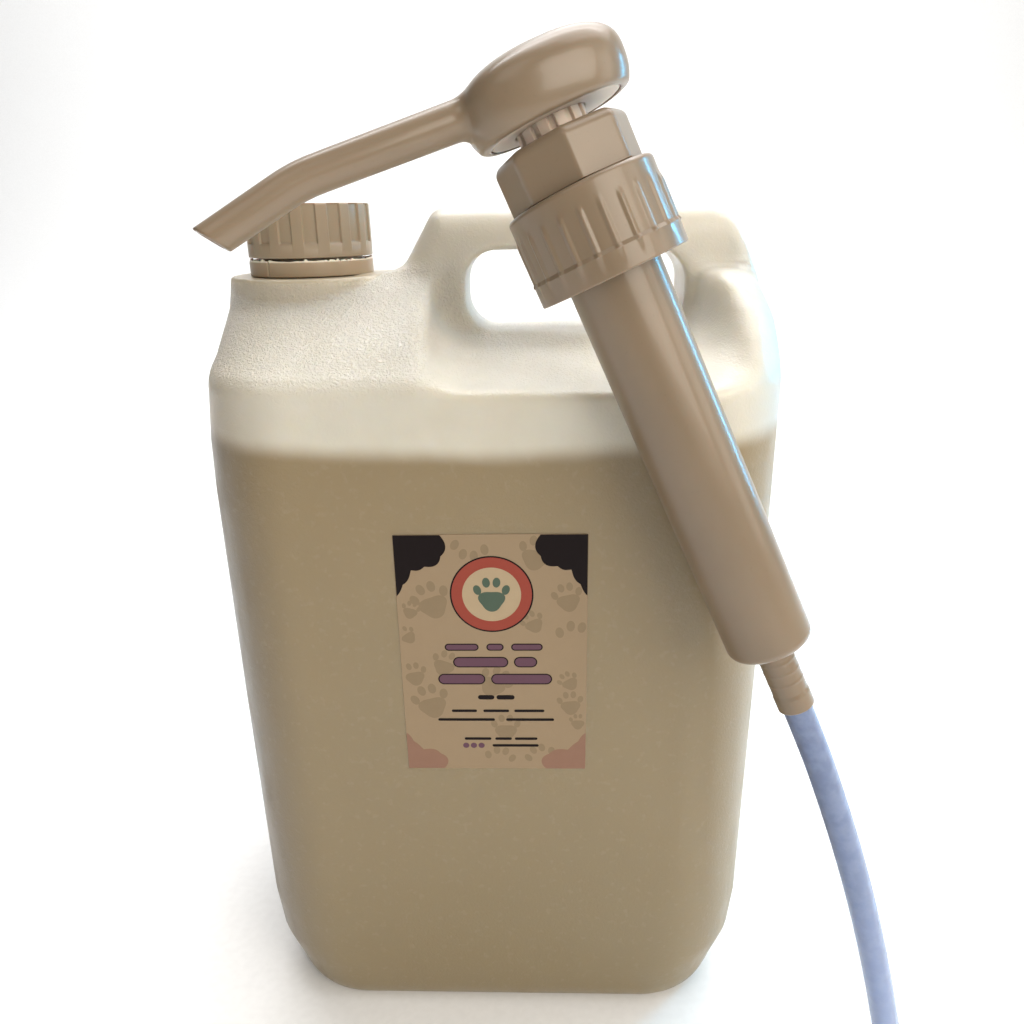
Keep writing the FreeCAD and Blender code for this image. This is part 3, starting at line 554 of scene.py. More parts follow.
def cap_thread(level, place):
    """The rounded ridge of the screw thread inside a cap, from a height up, fading out at both ends."""
    root, half, steps = CAP_BORE + 0.1, 1.0, int(THREAD_TURNS * 72)
    section = ((root, -half), (CAP_CREST, -half * 0.35), (CAP_CREST, half * 0.35), (root, half))
    points = []
    for step in range(steps + 1):
        share = step / steps
        fade = min(1.0, share * 9, (1 - share) * 9)
        angle = 2 * math.pi * THREAD_TURNS * share
        for radius, offset in section:
            r = root + (radius - root) * fade
            points.append((r * math.cos(angle), r * math.sin(angle),
                           level + THREAD_PITCH * THREAD_TURNS * share + offset * (0.4 + 0.6 * fade)))
    return placed(np.array(points), place), grid_quads(steps + 1, len(section), False)[:, FLIPPED]


CAP_TEETH = 16
cap_radius = float(cap_high[0] - cap_low[0]) / 2
cap_rim, cap_crown = float(cap_low[2]), float(cap_high[2])
TEETH_FOOT, TEETH_CROWN = cap_rim + 4.5, cap_crown - 1.0


def make_cap(material):
    """The screw cap: a plain skirt, square-cut grip teeth with channels between them, and a dished top."""
    profile = [(0.0, cap_crown - 0.5, 0), (15.2, cap_crown - 0.5, 0.6), (16.2, cap_crown, 0.6),
               (cap_radius - 0.15, cap_crown, 0.9), (cap_radius - 0.1, TEETH_CROWN - 0.3, 0),
               (cap_radius, TEETH_FOOT + 0.12, 0.05), (cap_radius, TEETH_FOOT - 0.12, 0.05),
               (cap_radius, cap_rim, 0.35), (CAP_BORE, cap_rim, 0.3), (CAP_BORE, cap_crown - 1.5, 1.0),
               (0.0, cap_crown - 1.5, 0)]

    def channels(r, z, angle):
        tooth = teeth(angle, CAP_TEETH, 0.47, 0.02, math.radians(4))
        depth = (cap_radius - CAP_CORE) * (1 - tooth)
        run = smoothstep(TEETH_FOOT - 0.12, TEETH_FOOT + 0.12, z)
        run = run * (1 - smoothstep(TEETH_CROWN + 0.5, cap_crown - 0.1, z))
        outside = smoothstep(19.4, 20.4, r)
        return r - depth * run * outside, z
    shell = lathe(profile, NECK, 768, closed=False, shape=channels, dense=(TEETH_FOOT - 1, cap_crown, 0.6))
    add_piece("cap_shell", joined([shell, cap_thread(cap_rim + 4.2, NECK)]), "cap", "cap_plastic", material,
              "cap")


band_low, band_high = boxed("tamper_band")
BAND_TEAR = band_high[2] - 0.75


def make_band(material):
    """The tamper-evident band left round the neck, torn off the cap along its top, with a split at the front
    left and ragged remains of the bridges."""
    radius = float(band_high[0] - band_low[0]) / 2
    bottom = float(band_low[2])
    profile = [(radius - 1.75, bottom + 1.6, 0), (radius - 2.3, bottom + 0.3, 0.2), (radius, bottom, 0.35),
               (radius, BAND_TEAR - 0.9, 0), (radius - 0.15, BAND_TEAR, 0.12),
               (radius - 1.1, BAND_TEAR, 0.12), (radius - 1.55, BAND_TEAR - 1.2, 0)]
    ragged_at, split_at = math.radians(-52), math.radians(-118)

    def degrees_from(angle, place):
        return np.degrees(np.angle(np.exp(1j * (angle - place))))

    def torn(r, z, angle):
        top = smoothstep(BAND_TEAR - 1.3, BAND_TEAR, z)
        wander = 0.10 * np.sin(5 * angle + 0.6) + 0.07 * np.sin(13 * angle + 2.0) + 0.05 * np.sin(31 * angle)
        nib = teeth(angle, 8, 0.055, 0.02, math.radians(9)) * (0.55 + 0.1 * np.sin(3 * angle + 1))
        ragged = (np.exp(-(degrees_from(angle, ragged_at) / 13) ** 2)
                  * (0.22 * np.sin(61 * angle) + 0.2 * np.sin(97 * angle + 1)))
        gap = degrees_from(angle, split_at)
        notch = np.exp(-(gap / 0.9) ** 2)
        curled = np.exp(-((gap - 1.6) / 1.8) ** 2)
        up = wander + nib + ragged - 0.9 * notch + 0.35 * curled
        out = 0.2 * curled * top - 0.55 * notch * smoothstep(bottom + 0.2, bottom + 1, z)
        return r + out, z + top * np.minimum(up, 0.66)
    add_piece("torn_band", lathe(profile, NECK, 960, shape=torn, dense=(bottom, BAND_TEAR, 0.9)), "can",
              "cap_plastic", material, "tamper_band")


# ---- the pump, outside
# radii, and heights along the pump's own axis from the lower end of the tube connector
BARREL_RADIUS, BARREL_BORE = 12.7, 11.3
BARREL_FOOT, BARREL_FLOOR, COLLAR_CROWN = 21.2, 23.2, 169.8
FLANGE_FOOT, FLANGE_CROWN, FLANGE_RADIUS = 155.2, 156.9, 18.7
CLOSURE_RIM, CLOSURE_BAND, CLOSURE_SHOULDER, CLOSURE_CROWN = 135.6, 141.3, 155.4, 159.1
CLOSURE_RADIUS, CLOSURE_CORE, CLOSURE_RIBS = 20.4, 19.95, 24
NUT_FOOT, NUT_CROWN, NUT_FLATS = 159.22, 172.3, 33.6
NUT_TURN = math.radians(11)
SLEEVE_FOOT, SLEEVE_CROWN, SLEEVE_RADIUS = 165.0, 178.9, 9.25


def make_barrel(material):
    """The pump's cylinder with its collar and flange, and the spigot with the suction valve's seat below."""
    profile = [(1.9, 10.0, 0), (3.55, 10.0, 0.4), (3.55, BARREL_FOOT, 0.5), (7.0, BARREL_FOOT, 0),
               (BARREL_RADIUS - 0.25, BARREL_FOOT + 0.2, 5.2), (BARREL_RADIUS, FLANGE_FOOT, 0.4),
               (FLANGE_RADIUS, FLANGE_FOOT, 0.2), (FLANGE_RADIUS, FLANGE_CROWN, 0.2),
               (BARREL_RADIUS, FLANGE_CROWN, 0.3),
               (BARREL_RADIUS, COLLAR_CROWN, 0.4), (BARREL_BORE, COLLAR_CROWN, 0.3),
               (BARREL_BORE, BARREL_FLOOR, 3.5), (5.6, BARREL_FLOOR, 0.4), (5.6, 29.0, 0.2), (4.0, 29.0, 0.2),
               (4.0, 22.4, 0), (1.9, 20.3, 0)]
    add_piece("pump_barrel", lathe(profile, PUMP, 192, dense=(30, 150, 12), steps=8), "pump", "pump_plastic",
              material, "barrel")


def make_connector(material):
    """The spigot's socket that holds the dip tube, with three faint rings and a wider mouth."""
    profile = [(4.45, 0.0, 0.25), (5.45, 0.0, 0.3), (5.45, 4.6, 0.6), (5.25, 5.8, 0.6), (5.25, 9.6, 0),
               (5.25, 20.6, 0.3), (3.6, 20.6, 0.2), (3.6, 8.1, 0), (4.45, 8.1, 0)]

    def rings(r, z, angle):
        ring = sum(np.exp(-((z - level) / 0.35) ** 2) for level in (9.5, 13.0, 16.5))
        return r + 0.09 * ring * (r > 4.8), z
    add_piece("tube_socket", lathe(profile, PUMP, 128, shape=rings, dense=(6, 20, 0.25)), "pump",
              "pump_plastic", material, "tube_connector")


def make_closure(material):
    """The pump's screw closure: a plain band at the rim, fine grip ribs above it and a rounded shoulder."""
    profile = [(13.1, CLOSURE_CROWN - 1.8, 0.2), (CAP_BORE, CLOSURE_CROWN - 1.8, 0.8),
               (CAP_BORE, CLOSURE_RIM, 0.3), (CLOSURE_RADIUS, CLOSURE_RIM, 0.45),
               (CLOSURE_RADIUS, CLOSURE_BAND, 0.25),
               (CLOSURE_CORE, CLOSURE_BAND + 1.0, 0.3), (CLOSURE_CORE, CLOSURE_CROWN - 0.25, 2.6),
               (17.6, CLOSURE_CROWN, 1.2), (13.1, CLOSURE_CROWN, 0.3)]

    def ribs(r, z, angle):
        rib = teeth(angle, CLOSURE_RIBS, 0.22, 0.11, math.radians(7))
        run = smoothstep(CLOSURE_BAND - 0.3, CLOSURE_BAND + 0.2, z)
        run = run * (1 - smoothstep(CLOSURE_SHOULDER - 4.0, CLOSURE_SHOULDER - 0.8, z))
        return r + (CLOSURE_RADIUS - CLOSURE_CORE) * rib * run * smoothstep(19.4, 19.7, r), z
    shell = lathe(profile, PUMP, 720, shape=ribs, dense=(CLOSURE_BAND, CLOSURE_SHOULDER, 0.7), steps=8)
    add_piece("screw_closure", joined([shell, cap_thread(CLOSURE_RIM + 2.6, PUMP)]), "closure",
              "pump_plastic", material, "closure")


def octagon(angle, sharpness=60):
    """The radius of a unit octagon with softened corners."""
    total = sum(np.maximum(np.cos(angle - index * math.pi / 4), 0) ** sharpness for index in range(8))
    return total ** (-1 / sharpness)


def make_nut(material):
    """The octagonal nut, with the bore that guides the stem and the seat for its seal."""
    flat = NUT_FLATS / 2
    profile = [(12.75, NUT_FOOT, 0.2), (flat, NUT_FOOT, 0.2), (flat, NUT_CROWN, 2.7), (9.8, NUT_CROWN, 0.4),
               (9.8, 162.6, 0), (6.35, 162.6, 0), (6.35, 160.8, 0.2), (11.2, 160.8, 0.2), (11.2, 170.0, 0),
               (12.75, 170.0, 0)]

    def faceted(r, z, angle):
        return np.where(r > 12.9, r * (1 + (octagon(angle - NUT_TURN) - 1) * smoothstep(12.9, 14.5, r)), r), z
    add_piece("octagon_nut", lathe(profile, PUMP, 512, shape=faceted, steps=8), "pump", "pump_plastic",
              material, "guide_nut")


def make_sleeve(material):
    """The ribbed sleeve that shows between the head and the nut."""
    profile = [(6.4, SLEEVE_FOOT, 0.2), (SLEEVE_RADIUS, SLEEVE_FOOT, 0.4), (SLEEVE_RADIUS, SLEEVE_CROWN, 0.2),
               (6.4, SLEEVE_CROWN, 0.2)]

    def slots(r, z, angle):
        rib = teeth(angle, 12, 0.62, 0.04)
        run = smoothstep(SLEEVE_FOOT + 0.8, SLEEVE_FOOT + 1.4, z)
        return r - 0.95 * (1 - rib) * run * smoothstep(8, 9, r), z
    add_piece("ribbed_sleeve", lathe(profile, PUMP, 480, shape=slots, dense=(SLEEVE_FOOT, SLEEVE_CROWN, 0.6)),
              "head", "pump_plastic", material, "lock_sleeve")


# ---- the pump's head
SPOUT_ROOT, SPOUT_BEND, SPOUT_TIP = (0.0, 184.4), (63.0, 188.4), (88.2, 184.4)
SPOUT_RADII = (5.0, 4.45)
SPOUT_BORE = 2.9
SPOUT_CUT = math.radians(34)
HEAD_WALL = 1.4
# the head's rounded form: where its middle is, how far it reaches from there each way, and its flat foot
HEAD_MIDDLE, HEAD_BACK, HEAD_FRONT = -2.0, 21.3, 22.6
HEAD_WIDEST, HEAD_RISE, HEAD_DROP = 184.3, 10.0, 14.5
HEAD_HALF, HEAD_FOOT = 16.7, 176.2
# the inside: the boss round the stem, its three bores as (radius, height of the top), and the ball's stop
BOSS_RADIUS = 9.4
STEM_SOCKET, VALVE_CHAMBER, SLEEVE_SEAT = (6.3, 181.0), (4.2, 187.6), (9.3, 179.0)
STOP_RADIUS, STOP_MIDDLE, STOP_HALF = 1.2, 183.6, 4.5


def pillow_distance(x, y, z):
    """Roughly the distance outside the head's rounded form, a superellipsoid with four different reaches."""
    ahead = x - HEAD_MIDDLE
    above = z - HEAD_WIDEST
    along = np.abs(ahead) / np.where(ahead < 0, HEAD_BACK, HEAD_FRONT)
    across = np.abs(y) / HEAD_HALF
    upright = np.abs(above) / np.where(above > 0, HEAD_RISE, HEAD_DROP)
    level = (along ** 2.3 + across ** 2.3) ** (2.6 / 2.3)
    return ((level + upright ** 2.6 + 1e-9) ** (1 / 2.6) - 1) * HEAD_DROP


def spout_path():
    """Points along the spout's middle, with its bend rounded over 5 mm each way."""
    root, bend, tip = (np.array(point) for point in (SPOUT_ROOT, SPOUT_BEND, SPOUT_TIP))
    tip = tip + (tip - bend) * 0.3
    enter = bend + (root - bend) * 5 / np.linalg.norm(root - bend)
    leave = bend + (tip - bend) * 5 / np.linalg.norm(tip - bend)
    curve = [enter * (1 - t) ** 2 + bend * 2 * t * (1 - t) + leave * t * t for t in np.linspace(0, 1, 7)]
    return [root] + curve + [tip]


SPOUT_LINE = spout_path()


def along_spout(x, y, z, radii):
    """Distance outside a round pipe on the spout's line, whose radius runs from radii[0] to radii[1]."""
    nearest = np.full(np.shape(x), 1e9)
    length = SPOUT_TIP[0] - SPOUT_ROOT[0]
    for start, end in zip(SPOUT_LINE, SPOUT_LINE[1:]):
        ex, ez = end - start
        t = np.clip(((x - start[0]) * ex + (z - start[1]) * ez) / (ex * ex + ez * ez), 0, 1)
        px, pz = start[0] + ex * t, start[1] + ez * t
        radius = radii[0] + (radii[1] - radii[0]) * np.clip(px / length, 0, 1)
        nearest = np.minimum(nearest, np.sqrt((x - px) ** 2 + y * y + (z - pz) ** 2) - radius)
    return nearest


def head_distance(x, y, z):
    """The pump head in its own frame: a rounded form cut level at its foot, hollow but for the stem's boss,
    and the spout with its bore and slanted mouth."""
    outline = pillow_distance(x, y, z)
    stem_away = np.hypot(x, y)
    form = smax(outline, HEAD_FOOT - z, 0.9)
    pipe = along_spout(x, y, z, SPOUT_RADII)
    mouth = (x - SPOUT_TIP[0]) * math.cos(SPOUT_CUT) - (z - SPOUT_TIP[1]) * math.sin(SPOUT_CUT)
    pipe = smax(pipe, mouth, 0.5)
    hollow = smax(smax(outline + HEAD_WALL, BOSS_RADIUS - stem_away, 0.8), 0.2 - pipe, 0.5)
    hollow = smax(hollow, HEAD_FOOT - 3 - z, 0.5)
    whole = smin(smax(form, -hollow, 0.5), pipe, 2.0)
    empty = np.maximum(along_spout(x, y, z, (SPOUT_BORE, SPOUT_BORE - 0.1)), 2 - x)
    for radius, top in (STEM_SOCKET, VALVE_CHAMBER, SLEEVE_SEAT):
        empty = np.minimum(empty, np.maximum(stem_away - radius, z - top))
    stop = np.maximum(stem_away - STOP_RADIUS, np.abs(z - STOP_MIDDLE) - STOP_HALF)
    return np.minimum(smax(whole, -empty, 0.35), stop)


def base_distance(x, y, z):
    """The plate that closes the head's foot, just inside its rim."""
    outline = pillow_distance(x, y, z) + HEAD_WALL + 0.08
    slab = np.abs(z - HEAD_FOOT - 0.6) - 0.5
    return smax(smax(outline, slab, 0.3), 9.5 - np.hypot(x, y), 0.3)


def make_head(shell_finish, base_finish, cell):
    """The head's shell with its spout, and the plate under it."""
    for name, distance, low, high, size, slot, material, node in (
            ("head_shell", head_distance, (-25, -18.5, 174), (92, 18.5, 199), cell, "pump_plastic",
             shell_finish, "pump_head"),
            ("head_plate", base_distance, (-25, -18, 175.5), (26, 18, 178.6), cell * 0.7, "inner_plastic",
             base_finish, "head_base")):
        points, quads = skin_of(distance, low, high, size)
        add_piece(name, (placed(points, PUMP), quads), "head", slot, material, node)


# ---- the dip tube
# its route from inside the socket down to the cut end on the table, in metres
TUBE_ROUTE = (
    (0.0884, -0.0860, 0.1567), (0.0974, -0.0878, 0.1368), (0.1059, -0.0894, 0.1146),
    (0.1136, -0.0907, 0.0926), (0.1206, -0.0916, 0.0700), (0.1269, -0.0921, 0.0472),
    (0.1326, -0.0923, 0.0240), (0.1379, -0.0923, 0.0014),
)
TUBE_RADIUS, TUBE_BORE = 0.0044, 0.0032


def tube_line():
    """Points along a smooth spline whose control points are the route's own."""
    curve = bpy.data.curves.new("tube_line", "CURVE")
    curve.dimensions = "3D"
    spline = curve.splines.new("NURBS")
    spline.points.add(len(TUBE_ROUTE) - 1)
    for point, place in zip(spline.points, TUBE_ROUTE):
        point.co = (*place, 1.0)
    spline.order_u = 3
    spline.use_endpoint_u = True
    spline.resolution_u = 12
    holder = bpy.data.objects.new("tube_line", curve)
    bpy.context.scene.collection.objects.link(holder)
    bpy.context.view_layer.update()
    mesh = bpy.data.meshes.new_from_object(holder.evaluated_get(bpy.context.evaluated_depsgraph_get()))
    line = [tuple(vertex.co) for vertex in mesh.vertices]
    bpy.data.objects.remove(holder)
    bpy.data.curves.remove(curve)
    bpy.data.meshes.remove(mesh)
    return line


def make_tube(material):
    """A hollow tube with a square-cut lower end."""
    line = tube_line()
    middle = np.array(line)
    ahead = np.gradient(middle, axis=0)
    ahead /= np.linalg.norm(ahead, axis=1)[:, None]
    side = np.cross(ahead, (0, 1, 0))
    side /= np.linalg.norm(side, axis=1)[:, None]
    above = np.cross(side, ahead)
    around, count = 64, len(middle)
    angle = np.linspace(0, 2 * math.pi, around, endpoint=False)[:, None]
    walls = [(index, TUBE_RADIUS) for index in range(count)] + [(index, TUBE_BORE)
                                                                for index in reversed(range(count))]
    points = np.vstack([middle[index] + radius * (np.cos(angle) * side[index] + np.sin(angle) * above[index])
                        for index, radius in walls])
    points[:, 2] = np.maximum(points[:, 2], 0.00002)
    quads = grid_quads(len(walls), around, True)[:, FLIPPED]
    piece = add_piece("clear_dip_tube", (points / MM, quads), "pump", "clear_tube", material, "dip_tube")


# ---- the label
label_low, label_high = boxed("front_label")
label_middle = (float(label_low[0] + label_high[0]) / 2, float(label_low[2] + label_high[2]) / 2)
LABEL_WIDE = float(label_high[0] - label_low[0])
LABEL_TALL = float(label_high[2] - label_low[2])
LABEL_FACE = float(label_low[1])
INK_STEP = 0.012


def turned(outline, tilt, across, up):
    """An outline turned by some degrees and moved to a place."""
    c, s = math.cos(math.radians(tilt)), math.sin(math.radians(tilt))
    return [(across + x * c - y * s, up + x * s + y * c) for x, y in outline]


def ellipse(across, up, half_across, half_up, tilt=0.0, steps=40):
    turn = np.linspace(0, 2 * math.pi, steps, endpoint=False)
    return turned(zip(half_across * np.cos(turn), half_up * np.sin(turn)), tilt, across, up)


def bar(across, up, length, height, round_by=None):
    """A bar with round ends, centred on a place."""
    r = height / 2 if round_by is None else round_by
    turn = np.linspace(0, math.pi / 2, 7)
    points = []
    for cx, cy, start in ((1, 1, 0), (-1, 1, 1), (-1, -1, 2), (1, -1, 3)):
        for angle in turn + start * math.pi / 2:
            points.append((across + cx * (length / 2 - r) + r * math.cos(angle),
                           up + cy * (height / 2 - r) + r * math.sin(angle)))
    return points


def paw(across, up, size, tilt):
    """A plain paw print: one rounded pad and four toes."""
    turn = np.linspace(0, 2 * math.pi, 48, endpoint=False)
    swell = 1 + 0.13 * np.cos(3 * (turn - math.pi / 2) + math.pi)
    pad = [(0.5 * size * k * math.cos(t), -0.18 * size + 0.42 * size * k * math.sin(t))
           for t, k in zip(turn, swell)]
    toes = [ellipse(x * size, y * size, 0.15 * size, 0.21 * size, lean, 24)
            for x, y, lean in ((-0.55, 0.27, 18), (-0.2, 0.58, 6), (0.2, 0.58, -6), (0.55, 0.27, -18))]
    return [turned(outline, tilt, across, up) for outline in [pad] + toes]


def patch(across, up, reach_across, reach_up, lobes, depth, corner):
    """A corner of the label filled in with a scalloped edge. corner gives the signs of its two sides."""
    turn = np.linspace(0, math.pi / 2, 90)
    edge = 1 + depth * np.abs(np.sin(turn * lobes)) - 0.22 * np.sin(2 * turn) ** 2 + 0.16 * np.sin(4 * turn)
    return [(across, up)] + [(across - corner[0] * reach_across * k * math.cos(t),
                              up - corner[1] * reach_up * k * math.sin(t)) for t, k in zip(turn, edge)]


def printed(name, outlines, level, material):
    """Ink on the label: flat outlines, each a hair in front of the one before."""
    points, faces = [], []
    for index, outline in enumerate(outlines):
        face_y = LABEL_FACE - INK_STEP * (level + 0.1 * (index % 8))
        start = len(points)
        points += [(label_middle[0] + x, face_y, label_middle[1] + z) for x, z in outline]
        for triangle in geometry.tessellate_polygon([[Vector((x, z, 0)) for x, z in outline]]):
            (ax, az), (bx, bz), (cx, cz) = (outline[corner] for corner in triangle)
            facing = (bx - ax) * (cz - az) - (cx - ax) * (bz - az)
            faces.append([start + corner for corner in (triangle if facing > 0 else triangle[::-1])])
    add_piece(name, (np.array(points), faces), "can", "label_film", material, smooth=False)


def make_sheet(material):
    """The label's own sheet, with its front edge barely rounded."""
    outline = bar(0, 0, LABEL_WIDE, LABEL_TALL, 0.7)
    count, shrink = len(outline), 0.05
    points = []
    for y, inward in ((float(label_high[1]), 0), (LABEL_FACE + shrink, 0), (LABEL_FACE, shrink)):
        points += [(label_middle[0] + x * (1 - 2 * inward / LABEL_WIDE), y,
                    label_middle[1] + z * (1 - 2 * inward / LABEL_TALL)) for x, z in outline]
    faces = grid_quads(3, count, False).tolist() + [list(range(2 * count, 3 * count)),
                                                    list(range(count - 1, -1, -1))]
    add_piece("label_sheet", (np.array(points), faces), "can", "label_film", material, "front_label",
              smooth=False)


# places on the label are across and up from its middle. Each paw print: place, size and tilt
FAINT_PRINTS = (
    (-19, 20, 9, 20), (-26, 17, 4.4, -15), (26, 6, 9, -8), (24, 21, 7, 12), (14, 36, 8, -12),
    (-6, 41, 8.5, 170), (13, 12.5, 5.5, 25), (-16, -2.5, 6.5, -20), (-26, -6.5, 6, 10), (24.5, -9, 5, 30),
    (25, -17.5, 6.2, 5), (-21, -17, 9, 15), (1, -40, 7.5, -10), (15.5, -39, 7.5, 20), (27.5, -24.5, 4.2, 0),
    (3.5, -27, 7, 0), (-27.5, 8, 4.5, 35), (0, -9.5, 8, -30),
)
# each line of bars that stand for words: its height up, the bars' middles and lengths, and their thickness
TITLES = (
    (3.9, ((-10.2, 11.0), (0.6, 5.6), (10.9, 10.2)), 2.6), (-1.6, ((-4.2, 18.0), (10.4, 7.6)), 3.9),
    (-7.9, ((-10.6, 15.5), (9.0, 20.0)), 4.0),
)
SMALL_LINES = (
    (-14.8, ((-2.8, 5.4), (3.6, 6.0)), 1.7), (-20.0, ((-10.2, 8.4), (0.4, 8.6), (11.4, 10.0)), 1.0),
    (-23.4, ((-9.6, 19.0), (11.6, 16.0)), 1.0), (-30.9, ((-6.0, 9.0), (2.6, 5.6), (10.2, 7.6)), 1.0),
    (-33.6, ((6.6, 15.6),), 1.0),
)
ROUNDEL = (0.0, 22.6)


def bars(lines, trim=0.0):
    """The bars of some lines, each trimmed all round by half of trim."""
    return [bar(across, up, length - trim, height - trim)
            for up, words, height in lines for across, length in words]


def make_label(materials):
    """The sheet, and the printed layers on it from the back to the front."""
    make_sheet(materials["ground"])
    prints = [shape for place in FAINT_PRINTS for shape in paw(*place)
              if all(abs(x) < LABEL_WIDE / 2 - 0.3 and abs(z) < LABEL_TALL / 2 - 0.3 for x, z in shape)]
    edge_x, edge_z = LABEL_WIDE / 2 - 0.15, LABEL_TALL / 2 - 0.15
    dark_corners = [patch(-edge_x, edge_z, 14.5, 19.5, 9, 0.06, (-1, 1)),
                    patch(edge_x, edge_z, 14.5, 19.5, 9, 0.06, (1, 1))]
    rose_corners = [patch(-edge_x, -edge_z, 12.2, 13.4, 7, 0.06, (-1, -1)),
                    patch(edge_x, -edge_z, 13.2, 13.4, 7, 0.06, (1, -1))]
    for name, outlines, level, colour in (
            ("label_faint_prints", prints, 1, "faint"),
            ("label_dark_corners", dark_corners, 2, "dark"),
            ("label_rose_corners", rose_corners, 2, "rose"),
            ("label_roundel_ring", [ellipse(*ROUNDEL, 13.2, 13.2, steps=96)], 2, "dark"),
            ("label_roundel", [ellipse(*ROUNDEL, 12.7, 12.7, steps=96)], 3.2, "coral"),
            ("label_roundel_disc", [ellipse(*ROUNDEL, 9.3, 9.3, steps=72)], 4.4, "pale"),
            ("label_roundel_print", paw(ROUNDEL[0], ROUNDEL[1] - 0.6, 8.2, 0), 5.6, "sage"),
            ("label_title_edges", bars(TITLES), 2, "dark"),
            ("label_titles", bars(TITLES, 0.8), 3.2, "plum"),
            ("label_small_lines", bars(SMALL_LINES), 2, "dark"),
            ("label_dots", [ellipse(x, -33.6, 1.05, 1.05) for x in (-10.1, -7.5, -4.9)], 2, "plum")):
        printed(name, outlines, level, materials[colour])


# ---- finishes
def moulded(name, colour, roughness, grain, torn=None, **inputs):
    """An injection-moulded plastic: slight cloudiness, fine specks and scattered handling marks. Above the
    height torn, in metres on the piece, it is whitened as where plastic has been torn; this pale strip is
    also a painted highlight along the torn edge."""
    shade = Shade(name, Subsurface_Scale=0.003, **inputs)
    cloud = shade.noise(45, 3)
    base = shade.blend(cloud, 0.3, 0.7, scaled(colour, 0.93), colour)
    speck = shade.noise(900, 2)
    base = shade.blend(speck, 0.62, 0.78, base, scaled(colour, 0.8), 0.25)
    if torn:
        # stress-whitened torn edge, also serving as a painted highlight where the torn edge catches light
        base = shade.blend(shade.part(2), torn - 0.0004, torn + 0.0001, base, linear(236, 224, 204))
    marks = shade.noise(60, 3, 0.5)
    rough = shade.span(marks, 0.4, 0.8, roughness - 0.01, roughness + 0.03)
    skin = shade.bump(speck, grain, 0.4)
    waves = shade.bump(shade.noise(60, 1), grain * 3, 0.4, skin)
    return shade.set(Base_Color=base, Roughness=rough, Normal=waves)


def can_finish():
    """Natural HDPE. The contents show through it as a darker, duller tone up to their level; above it the
    wall is pale. Painted shade darkens the left edge and the ledge round the neck, painted light lifts the
    grip towards its top, and the right end is cooler. The sloping shoulder has a leathery skin."""
    shade = Shade("natural_hdpe", Subsurface_Weight=0.35, Subsurface_Radius=(1.0, 0.75, 0.45),
                  Subsurface_Scale=0.006, IOR=1.5, Transmission_Weight=0.35)
    across, height = shade.part(0), shade.part(2)

    # above the contents
    fill = FILL_LEVEL * MM
    # painted shade: the pale wall darkens towards the left edge, where the rounded corner turns away from the
    # light
    front = shade.blend(across, -0.05, -0.092, linear(250, 242, 225), linear(222, 210, 192))
    # painted light: towards the grip's top the wall is lifted to a near-white tone against the shade there,
    # and the left edge's painted shade fades out
    air = shade.blend(height, fill, 0.262, front, linear(248, 240, 226))
    air = shade.blend(across, 0.074, 0.092, air, linear(212, 214, 210))
    beside_neck = shade.maths("SUBTRACT", across, NECK_X * MM)
    from_neck = shade.maths("SQRT", shade.maths("ADD", shade.times(beside_neck, beside_neck),
                                                shade.times(shade.part(1), shade.part(1))))
    on_slope = shade.span(from_neck, (NECK_DISC - 0.3) * MM, (NECK_DISC + 0.3) * MM)
    # painted shade: the ledge and the boss wall round the neck, under the cap and pump, are darker
    air = shade.mix(on_slope, linear(214, 200, 176), air)

    # the contents, whose edge ripples a little and climbs towards the sides
    cream = shade.mix(shade.span(height, 0.0, fill, smooth=False), linear(162, 144, 110),
                      linear(166, 145, 109))
    # painted shade: the contents darken towards the left edge too
    cream = shade.blend(across, -0.062, -0.093, cream, linear(128, 110, 84))
    ripple = shade.span(shade.noise(35, 2), 0.2, 0.8, -0.0012, 0.0012, smooth=False)
    level = shade.maths("SUBTRACT", shade.maths("ADD", height, ripple), shade.times(across, across, 0.6))
    body = shade.blend(level, fill + 0.0022, fill - 0.0050, air, cream)
    body = shade.blend(shade.noise(16, 4, 0.55), 0.3, 0.72, body, linear(156, 138, 104), 0.25)
    body = shade.blend(shade.noise(420, 3), 0.56, 0.74, body, linear(236, 228, 208), 0.06)

    # the skin
    creases = shade.maths("ABSOLUTE", shade.maths("SUBTRACT", shade.noise(620, 3, 0.6), 0.5))
    on_shoulder, below_grip = shade.span(height, 0.236, 0.248), shade.span(height, 0.276, 0.268)
    leather = shade.times(on_shoulder, below_grip, on_slope, shade.span(across, 0.055, 0.02))
    pebbles = shade.times(shade.span(creases, 0.0, 0.16), shade.span(leather, 0, 1, 0.12, 1.0, smooth=False))
    bumps = shade.bump(pebbles, 0.0003, 0.9, shade.bump(shade.noise(28, 2), 0.0012, 0.35))
    scuffs = shade.noise(120, 5, 0.7, stretch=(1, 1, 0.3))
    return shade.set(Base_Color=body, Roughness=shade.span(scuffs, 0.4, 0.75, 0.30, 0.46), Normal=bumps)


def conditioner_finish():
    """Thick cream with slow swirls in it."""
    shade = Shade("cream_conditioner", Subsurface_Weight=0.5, Subsurface_Radius=(1.0, 0.8, 0.6),
                  Subsurface_Scale=0.004)
    swirl = shade.noise(30, 4, 0.5, distort=1.5)
    base = shade.blend(swirl, 0.35, 0.7, linear(240, 228, 200), linear(226, 210, 176))
    return shade.finished(base, swirl, 0.22, 0.36, swirl, 0.0006)


def tube_finish():
    """Bluish clear LDPE: partly see-through and faintly mottled, with painted shade darkening it towards the
    pump.
    """
    shade = Shade("clear_blue_tube", Transmission_Weight=0.55, IOR=1.45, Subsurface_Weight=0.2,
                  Subsurface_Scale=0.003, Subsurface_Radius=(0.6, 0.8, 1.0))
    grain = shade.noise(220, 3)
    # painted shade: darker higher up towards the pump, lighter near the floor
    base = shade.blend(shade.part(2), 0.0, 0.15, linear(186, 200, 230), linear(142, 156, 188))
    base = shade.blend(grain, 0.35, 0.7, base, linear(204, 216, 240), 0.25)
    return shade.finished(base, grain, 0.14, 0.22, grain, 0.00003)


